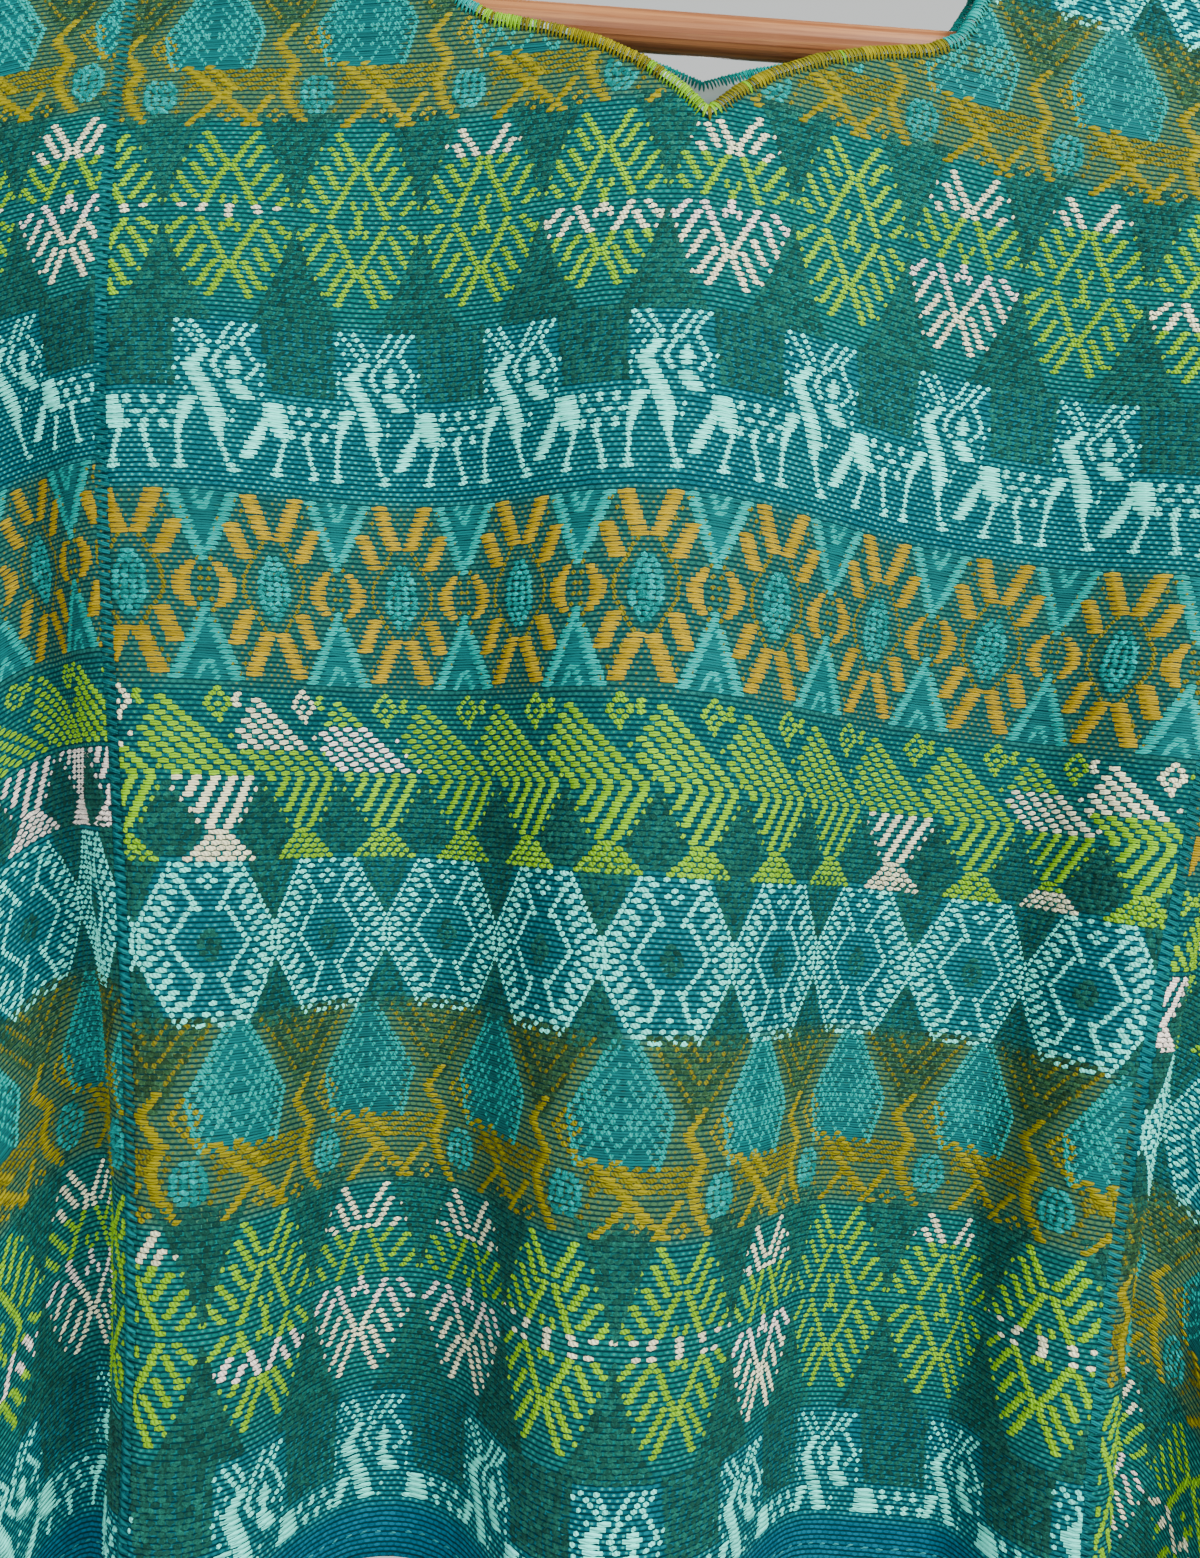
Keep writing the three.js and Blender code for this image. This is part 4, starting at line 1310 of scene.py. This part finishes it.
@dataclass
class ClothPanels:
    """The three loom panels as thin closed sheets on the solids' form.

    A joined edge runs under its seam's stitches by the lap, so that no light comes through.

    Args:
        cloth: the surface.
        pattern: where the ground's colours come from.
        cell: usual size of a mesh cell.
        lap: how far a joined edge runs past its seam.
        side_swell: how much thicker the rounded side edges are than the cloth.
        weave_cell: size of a cell of the ground weave.
    """

    cloth: HungCloth
    pattern: Pattern
    cell: float = 5.3
    lap: float = 0.15
    side_swell: float = 1.6
    weave_cell: Point = (2.5, 1.8)

    def _rows(self, panel: PanelCut) -> np.ndarray:
        """Places of a panel's rows of points, among them every bend of the neck edge."""
        cloth = self.cloth
        shoulder = [math.pi / 2 * cloth.fold_radius * k / 5 for k in range(1, 6)]
        front = back = shoulder + [cloth.armhole, cloth.length]
        if panel.is_centre:
            front, back = (shoulder + [depth for depth, _ in edge[1:]] + [cloth.length]
                           for edge in (cloth.neck_front, cloth.neck_back))
        marks = [-depth for depth in reversed(front)] + [0.0] + back
        out: list[float] = []
        for a, b in zip(marks, marks[1:]):
            out += list(np.linspace(a, b, max(1, round(abs(b - a) / self.cell)), endpoint=False))
        return np.array(out + [marks[-1]])

    def _net(self, panel: PanelCut) -> tuple[np.ndarray, np.ndarray]:
        """The points of a panel, measured flat, and the quads between them.

        Points on the middle line, and those where front and back are sewn together, are shared.

        Args:
            panel: which panel.

        Returns:
            Places (u, s), and quads of their numbers, one row each.
        """
        cloth, rows = self.cloth, self._rows(panel)
        left = panel.left - (self.lap if panel.left > -cloth.half_width else 0)
        right = panel.right + (self.lap if panel.right < cloth.half_width else 0)
        lanes = [(-1.0, left, 0.0), (1.0, 0.0, right)] if panel.is_centre else [(0.0, left, right)]
        neck = cloth.neck_half(rows) if panel.is_centre else np.zeros(len(rows))
        points, faces, seen = [], [], {}
        for way, low, high in lanes:
            count = round((high - low) / self.cell)
            side = None if panel.is_centre else 0 if panel.left == -cloth.half_width else count
            ids = []
            for j, s in enumerate(rows):
                a = low if way <= 0 else neck[j]
                b = -neck[j] if way < 0 else high
                for i, u in enumerate(np.linspace(a, b, count + 1)):
                    key = (way, i, j)
                    if panel.is_centre and abs(u) < 1e-6:
                        key = ("middle", j)
                    elif i == side and abs(s) >= cloth.armhole:
                        key = ("side", round(abs(s), 2))
                    if key not in seen:
                        seen[key] = len(points)
                        points.append((u, s))
                    ids.append(seen[key])
            grid = np.array(ids).reshape(len(rows), count + 1)
            corners = (grid[:-1, :-1], grid[:-1, 1:], grid[1:, 1:], grid[1:, :-1])
            faces.append(np.stack(corners, -1).reshape(-1, 4))
        quads = np.concatenate(faces)
        return np.array(points), quads[[len(set(quad)) == 4 for quad in quads.tolist()]]

    @staticmethod
    def _rim(quads: np.ndarray, count: int) -> np.ndarray:
        """Quads round the open edges, between the outer points and the inner ones count further on."""
        edges: dict[tuple[int, int], None] = {}
        for quad in quads.tolist():
            for a, b in zip(quad, quad[1:] + quad[:1]):
                if (b, a) in edges:
                    del edges[(b, a)]
                else:
                    edges[(a, b)] = None
        return np.array([[b, a, a + count, b + count] for a, b in edges])

    def build(self, panel: PanelCut, material: Material) -> Object:
        """Makes one panel.

        Args:
            panel: which panel.
            material: the ground weave.

        Returns:
            The panel's object.
        """
        cloth = self.cloth
        place, quads = self._net(panel)
        u, s = place.T
        middle = cloth.at(u, s, 0.0)
        normal = cloth.at(u, s, 1.0) - middle
        sewn = (np.abs(u) > cloth.half_width - 0.01) & (np.abs(s) >= cloth.armhole)
        normal[sewn] = np.outer(np.sign(u[sewn]) * self.side_swell, (1, 0, 0))
        half, count = cloth.wall / 2, len(place)
        points = np.concatenate([middle + normal * half, middle - normal * half])
        faces = np.concatenate([quads, quads[:, ::-1] + count, self._rim(quads, count)])
        obj = mesh_object(panel.node + "_cloth", points, faces, material)
        flat = np.concatenate([place, place])
        set_uv(obj, "weave", flat / np.array(self.weave_cell))
        ground, dots = self.pattern.ground(flat[:, 0], flat[:, 1], panel)
        set_colour(obj, "ground", ground)
        set_colour(obj, "dots", dots[:, :3], dots[:, 3])
        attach(obj, "root")
        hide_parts(panel.node)
        LOG.info("%s: %d faces", obj.name, len(faces))
        return obj


@dataclass
class Brocade:
    """The raised stitches of one face of a panel.

    Args:
        cloth: the surface.
        pattern: where the stitches come from.
        sink: how deep a stitch's edges go into the cloth.
        station: usual length of a stitch between two of its places.
        shoulder: length over which the end of a stitch rises.
        lane: spacing that gives each row strands of its own.
        strand: where the two edges and the middle of a stitch lie across its strands.
    """

    cloth: HungCloth
    pattern: Pattern
    sink: float = 0.12
    station: float = 7.0
    shoulder: float = 1.1
    lane: float = 0.9
    strand: Triple = (0.02, 0.5, 0.98)

    def _lay(self, run: Run, places: int, rng: np.random.Generator) -> tuple[np.ndarray, np.ndarray]:
        """Shapes stitches that have the same number of places.

        Args:
            run: the stitches, as arrays by name.
            places: how many places along a stitch.
            rng: source of unevenness.

        Returns:
            Points and yarn coordinates, stitches by places by three across.
        """
        left, wide, down, kind = (run[name][:, None] for name in ("left", "width", "down", "kind"))
        is_fill = kind == Stitch.FILL.value
        t = np.linspace(0, 1, places)
        u = left + wide * t[None, :]
        bend = np.minimum(np.minimum(t, 1 - t)[None, :] * wide / self.shoulder, 1.0)
        crown = np.sqrt(np.clip(1 - (1 - bend) ** 2, 0, 1))
        sag = rng.normal(0, 1, u.shape) * np.where(is_fill, 0.22, 0.09)
        loose = np.where(is_fill, rng.uniform(0.6, 1.4, (len(u), 1)), 1.0)
        rise = run["high"][:, None] * loose * (0.2 + 0.8 * crown)
        body = np.where(kind == Stitch.FLOAT.value, 0.96 + 0.18 * crown, 0.72 + 0.45 * crown)
        half, middle = run["half"][:, None], down + run["slant"][:, None] * t
        base = self.cloth.wall / 2 - self.sink
        points = np.stack([self.cloth.at(u, middle + side * half * body + sag, base + lift * rise)
                           for side, lift in ((-1.0, 0.0), (0.0, 1.0), (1.0, 0.0))], 2)
        along = np.repeat((u - left + rng.uniform(0, 50, left.shape))[:, :, None], 3, 2)
        across = np.floor(np.abs(down) / self.lane)[:, :, None] + np.array(self.strand)
        return points, np.stack([along, np.broadcast_to(across, along.shape)], -1)

    def build(self, panel: PanelCut, sheet: Sheet, part: Part, material: Material) -> Object:
        """Lays the stitches.

        Args:
            panel: the loom panel.
            sheet: front or back.
            part: which of them to lay.
            material: the yarn.

        Returns:
            One object holding all of them.
        """
        run = self.pattern.stitches(panel, sheet)
        depth = np.abs(run["down"])
        kept = (depth >= part.value[0]) & (depth < part.value[1])
        run = {name: value[kept] for name, value in run.items()}
        run["width"] = run["right"] - run["left"]
        stations = np.clip(np.ceil(run["width"] / self.station).astype(int) + 2, 3, 60)
        points, faces, lay, rgb, kind = [], [], [], [], []
        offset = 0
        rng = np.random.default_rng(17)
        for n in np.unique(stations):
            some = {name: value[stations == n] for name, value in run.items()}
            block, yarn_places = self._lay(some, n, rng)
            ids = offset + np.arange(block.size // 3).reshape(block.shape[:3])
            offset += ids.size
            faces.append(strip_quads(ids))
            points.append(block.reshape(-1, 3))
            lay.append(yarn_places.reshape(-1, 2))
            rgb.append(np.repeat(some["rgb"], n * 3, 0))
            kind.append(np.repeat(some["kind"], n * 3))
        place = "" if part is Part.WHOLE else f"_{part.name.lower()}"
        name = f"{panel.node}_brocade_{sheet.name.lower()}{place}"
        obj = mesh_object(name, np.concatenate(points), np.concatenate(faces), material)
        LOG.info("%s: %d stitches", name, len(run["width"]))
        set_uv(obj, "lay", np.concatenate(lay))
        set_colour(obj, "yarn", np.clip(np.concatenate(rgb), 0, 1))
        set_number(obj, "kind", np.concatenate(kind))
        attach(obj, "root")
        return obj


@dataclass
class NeckEdge:
    """The ribbon that binds the neck opening and the yarn whipped over it.

    Places on the edge's section are (reach, out): reach goes from the cut edge onto the cloth, out goes away
    from the middle of the wall, positive on the outside.

    Args:
        cloth: the surface.
        spacing: from one place, and one whipped stitch, to the next.
        ribbon_width: width of the ribbon, measured flat; not used.
        ribbon: section of the ribbon.
        wrap: section of the path that the yarn takes.
        yarn_half: half the width and half the height of the yarn.
        slant: how far a stitch leans along the edge, each way.
        yarn_pitch: length of yarn from one place of a stitch to the next.
    """

    cloth: HungCloth
    spacing: float = 1.45
    ribbon_width: float = 14.2
    ribbon: tuple[Point, ...] = (
        (8.2, -1.75), (4.0, -1.7), (0.2, -1.65), (-0.75, -0.9), (-0.75, 0.9), (0.2, 1.5), (1.6, 1.5),
        (1.6, 1.8), (0.2, 1.85), (-1.1, 1.05), (-1.1, -1.1), (0.0, -2.2), (4.0, -2.35), (8.2, -2.3))
    wrap: tuple[Point, ...] = (
        (2.4, -2.1), (0.8, -2.5), (-0.8, -2.0), (-1.6, -0.8), (-1.6, 0.8), (-0.8, 1.85), (0.5, 2.35),
        (1.9, 2.2), (3.0, 1.0))
    yarn_half: Point = (0.66, 0.50)
    slant: float = 0.9
    yarn_pitch: float = 1.6

    def __post_init__(self) -> None:
        """Walks once round the opening at even spacing."""
        cloth = self.cloth
        front = [(u, -d) for d, u in cloth.neck_front]
        back = [(u, d) for d, u in cloth.neck_back]
        right = np.array(front[::-1] + back[1:], float)
        left = right[::-1][1:-1] * np.array([-1.0, 1.0])
        loop = np.concatenate([right, left, right[:1]])
        length = np.concatenate([[0], np.cumsum(np.linalg.norm(np.diff(loop, axis=0), axis=1))])
        self.length = float(length[-1])
        count = int(self.length / self.spacing)
        at = np.linspace(0, self.length, count, endpoint=False)
        self.places = np.stack([np.interp(at, length, loop[:, k]) for k in (0, 1)], -1)
        run = np.roll(self.places, -2, 0) - np.roll(self.places, 2, 0)
        run /= np.linalg.norm(run, axis=1, keepdims=True)
        self.into = np.stack([run[:, 1], -run[:, 0]], -1)

    def _on_cloth(self, reach: np.ndarray | float, out: float) -> np.ndarray:
        """Points at a reach from every place of the edge onto the cloth."""
        place = self.places + self.into * np.reshape(reach, (-1, 1))
        return self.cloth.at(place[:, 0], place[:, 1], out)

    def points(self, section: tuple[Point, ...], sway: np.ndarray | float = 0.0) -> np.ndarray:
        """Points of a section set all round the edge.

        Args:
            section: (reach, out) places.
            sway: extra reach at each place of the edge, of what goes well onto the cloth.

        Returns:
            An array, places by section by three.
        """
        inward = self._on_cloth(0.0, 0.0) - self._on_cloth(1.5, 0.0)
        inward /= np.linalg.norm(inward, axis=1, keepdims=True)
        return np.stack([self._on_cloth(max(0.0, reach) + (np.abs(sway) if reach > 2 else 0.0), out)
                         + inward * max(0.0, -reach) for reach, out in section], 1)

    def bind(self, material: Material) -> Object:
        """Makes the ribbon."""
        ring = self.points(self.ribbon)
        rows, cols = ring.shape[:2]
        ids = np.arange(rows * cols).reshape(rows, cols)
        onward = np.roll(ids, -1, 0)
        quads = np.stack([ids, onward, np.roll(onward, -1, 1), np.roll(ids, -1, 1)], -1)
        obj = mesh_object("neck_ribbon", ring.reshape(-1, 3), quads.reshape(-1, 4), material)
        face_outward(obj)
        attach(obj, "root")
        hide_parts("neck_binding")
        LOG.info("%s: %d places round the opening", obj.name, rows)
        return obj

    def whip(self, material: Material) -> Object:
        """Makes the overcast yarn, a stitch at every place.

        Args:
            material: the yarn.

        Returns:
            One object holding all the stitches.
        """
        rng = np.random.default_rng(23)
        count = len(self.places)
        sway = rng.normal(0, 0.5, count)
        path = self.points(self.wrap, sway)
        along = np.roll(path, -1, 0) - np.roll(path, 1, 0)
        along /= np.linalg.norm(along, axis=2, keepdims=True)
        onward = np.gradient(path, axis=1)
        onward /= np.linalg.norm(onward, axis=2, keepdims=True)
        out = np.cross(onward, along)
        core = self.points(((0.6, 0.0),))
        out *= np.sign(np.sum(out * (path - core), 2, keepdims=True))
        steps = path.shape[1]
        path = path + along * np.linspace(-self.slant, self.slant, steps)[None, :, None]
        ends = np.minimum(np.linspace(0, 1, steps), np.linspace(1, 0, steps))
        fat = np.clip(ends * 6, 0.3, 1)[None, :, None] * rng.uniform(0.7, 1.35, (count, 1, 1))
        wide, tall = self.yarn_half
        strip = np.stack([path - along * wide * fat, path + out * tall * fat, path + along * wide * fat], 2)
        quads = strip_quads(np.arange(count * steps * 3).reshape(count, steps, 3))
        points = strip.reshape(-1, 3)
        a, b, d = points[quads[:, 0]], points[quads[:, 1]], points[quads[:, 3]]
        facing = np.sum(np.cross(b - a, d - a) * np.repeat(out[:, :-1].reshape(-1, 3), 2, 0), 1)
        if facing.mean() < 0:
            quads = quads[:, ::-1]
        obj = mesh_object("neck_overcast", points, quads, material)
        set_colour(obj, "yarn", np.repeat(self._yarns(rng), steps * 3, 0))
        run = np.tile(np.arange(steps)[None, :, None] * self.yarn_pitch, (count, 1, 3))
        across = np.arange(count)[:, None, None] + np.array([0.02, 0.5, 0.98]) + np.zeros((1, steps, 1))
        set_uv(obj, "lay", np.stack([run, across], -1).reshape(-1, 2))
        set_number(obj, "kind", np.zeros(len(points)))
        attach(obj, "root")
        LOG.info("%s: %d stitches", obj.name, count)
        return obj

    def _yarns(self, rng: np.random.Generator) -> np.ndarray:
        """Colour of every whipped stitch, which changes in patches: ochre, olive and lime, or turquoise."""
        count = len(self.places)
        u, s = self.places.T
        patch = np.sin(u / 9.0) + np.sin(s / 7.0 + 1.3) + rng.normal(0, 0.4, count)
        patch, shoulder = patch[:, None], ((np.abs(u) > 84) | (s > 0))[:, None]
        low = np.where(patch > 0.5, OCHRE.rgb, np.where(patch > -0.6, OLIVE.rgb, LIME.rgb))
        rgb = np.where(shoulder, np.where(patch > 0.9, OCHRE.rgb, TURQUOISE.rgb), low)
        return rgb * rng.uniform(0.75, 1.2, (count, 1))


@dataclass(frozen=True)
class Hanger:
    """The plain hanger, whose solids stay as they are and get their finishes.

    Args:
        bar: finish of the bar.
        arms: finish of the arms.
        hook: finish of the hook.
    """

    bar: VarnishedWood = VarnishedWood("bar_wood", (0.42, 0.170, 0.056, 1), (0.24, 0.078, 0.024, 1))
    arms: VarnishedWood = VarnishedWood("arm_wood", (0.39, 0.155, 0.052, 1), (0.22, 0.070, 0.022, 1))
    hook: PolishedWire = PolishedWire()

    def dress(self, nodes: dict[str, Object]) -> None:
        """Gives each solid its finish."""
        for part in ("bar", "arms", "hook"):
            obj = nodes[f"hanger_{part}"]
            obj.data.materials.clear()
            obj.data.materials.append(getattr(self, part).build())
            LOG.info("%s: %s", obj.name, obj.data.materials[0].name)


@dataclass
class Studio:
    """Camera, floor and soft lights.

    Args:
        eye: place of the camera.
        roll: how far it is turned about its own axis.
        film: width of its film in millimetres.
        focal: its focal length in pixels of the picture.
        frame_px: size of the picture.
        aim: what the lights point at.
        floor_half: half the width of the floor.
        floor_level: its height.
        soft: colour of the light from all round, with its strength as a fourth value.
        pale: the same for what the camera sees past the floor.
    """

    eye: Triple = (-0.0186, -0.435, -0.4395)
    roll: float = math.radians(4.2)
    film: float = 36.0
    focal: float = 1170.0
    frame_px: tuple[int, int] = (1200, 1558)
    aim: Triple = (0.0, 0.0, -0.45)
    floor_half: float = 6.0
    floor_level: float = -0.93
    soft: Colour = (0.86, 0.93, 0.92, 0.34)
    pale: Colour = (0.80, 0.83, 0.82, 1.0)

    def build(self) -> None:
        """Makes all of it."""
        self._camera()
        self._set()
        self._light("key", (0.72, -1.0, 0.42), 42.0, 0.4, (1.0, 0.98, 0.95))
        self._light("fill", (-0.6, -1.3, -0.35), 12.0, 0.9, (0.93, 0.97, 1.0))
        self._light("back", (0.2, 1.5, 0.4), 34.0, 1.2, (1.0, 1.0, 1.0))
        self._sky()
        LOG.info("studio: camera, floor, three lights and sky")

    def _sky(self) -> None:
        """Soft light from all round, in front of a paler tone where the garment leaves a view open."""
        world = bpy.data.worlds.new("studio")
        bpy.context.scene.world = world
        world.use_nodes = True
        nodes, links = world.node_tree.nodes, world.node_tree.links
        choose, path = nodes.new("ShaderNodeMixShader"), nodes.new("ShaderNodeLightPath")
        links.new(path.outputs["Is Camera Ray"], choose.inputs[0])
        backgrounds = nodes["Background"], nodes.new("ShaderNodeBackground")
        for node, (*rgb, strength), socket in zip(backgrounds, (self.soft, self.pale), choose.inputs[1:]):
            node.inputs["Color"].default_value = (*rgb, 1)
            node.inputs["Strength"].default_value = strength
            links.new(node.outputs[0], socket)
        links.new(choose.outputs[0], nodes["World Output"].inputs["Surface"])

    def _camera(self) -> None:
        """Sets the camera where the picture was taken."""
        data = bpy.data.cameras.new("camera")
        data.sensor_width = self.film
        data.sensor_fit = "AUTO"
        data.lens = self.focal * self.film / max(self.frame_px)
        data.clip_start = 0.02
        cam = bpy.data.objects.new("camera", data)
        bpy.context.scene.collection.objects.link(cam)
        turn = Matrix.Rotation(math.pi / 2, 4, "X") @ Matrix.Rotation(self.roll, 4, "Z")
        cam.matrix_world = Matrix.Translation(self.eye) @ turn
        bpy.context.scene.camera = cam

    def _set(self) -> None:
        """A pale plaster floor, which is open to a look from below."""
        g = Graph("pale_plaster")
        place = g.node("ShaderNodeTexCoord").outputs["Object"]
        grain = g.noise(place, 60.0, 4.0, 0.6)
        colour = g.mix(g.range(grain, 0.3, 0.7), (0.74, 0.77, 0.76, 1), (0.80, 0.82, 0.81, 1))
        material = g.finish(colour, 0.9, grain, 0.0005, 0.2)
        g.open_behind()
        form = bmesh.new()
        bmesh.ops.create_grid(form, x_segments=2, y_segments=2, size=self.floor_half)
        bmesh.ops.translate(form, verts=form.verts, vec=(0, 0, self.floor_level))
        mesh = bpy.data.meshes.new("floor")
        form.to_mesh(mesh)
        form.free()
        mesh.materials.append(material)
        obj = bpy.data.objects.new("floor", mesh)
        bpy.context.scene.collection.objects.link(obj)

    def _light(self, name: str, place: Triple, power: float, size: float,
               colour: Triple) -> None:
        """A soft square light aimed at the middle of the garment."""
        data = bpy.data.lights.new(name, "AREA")
        data.energy, data.size, data.color = power, size, colour
        obj = bpy.data.objects.new(name, data)
        bpy.context.scene.collection.objects.link(obj)
        obj.location = place
        obj.rotation_euler = (Vector(self.aim) - Vector(place)).to_track_quat("-Z", "Y").to_euler()


def main() -> None:
    """Builds the huipil, its hanger and the set, in order."""
    logging.basicConfig(level=logging.INFO, format="%(message)s")
    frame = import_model()
    cloth = HungCloth()
    pattern = Pattern(cloth)
    panels, brocade = ClothPanels(cloth, pattern), Brocade(cloth, pattern)
    weave, yarn = GroundWeave().build(), BrocadeYarn().build()
    for panel in PANELS:
        sheet_obj = panels.build(panel, weave)
        stitched = [brocade.build(panel, sheet, part, yarn) for sheet, part in panel.faces]
    neck = NeckEdge(cloth)
    ribbon = neck.bind(SatinRibbon().build())
    neck.whip(yarn)
    Hanger().dress(frame["nodes"])
    Studio().build()


if __name__ == "__main__":
    main()
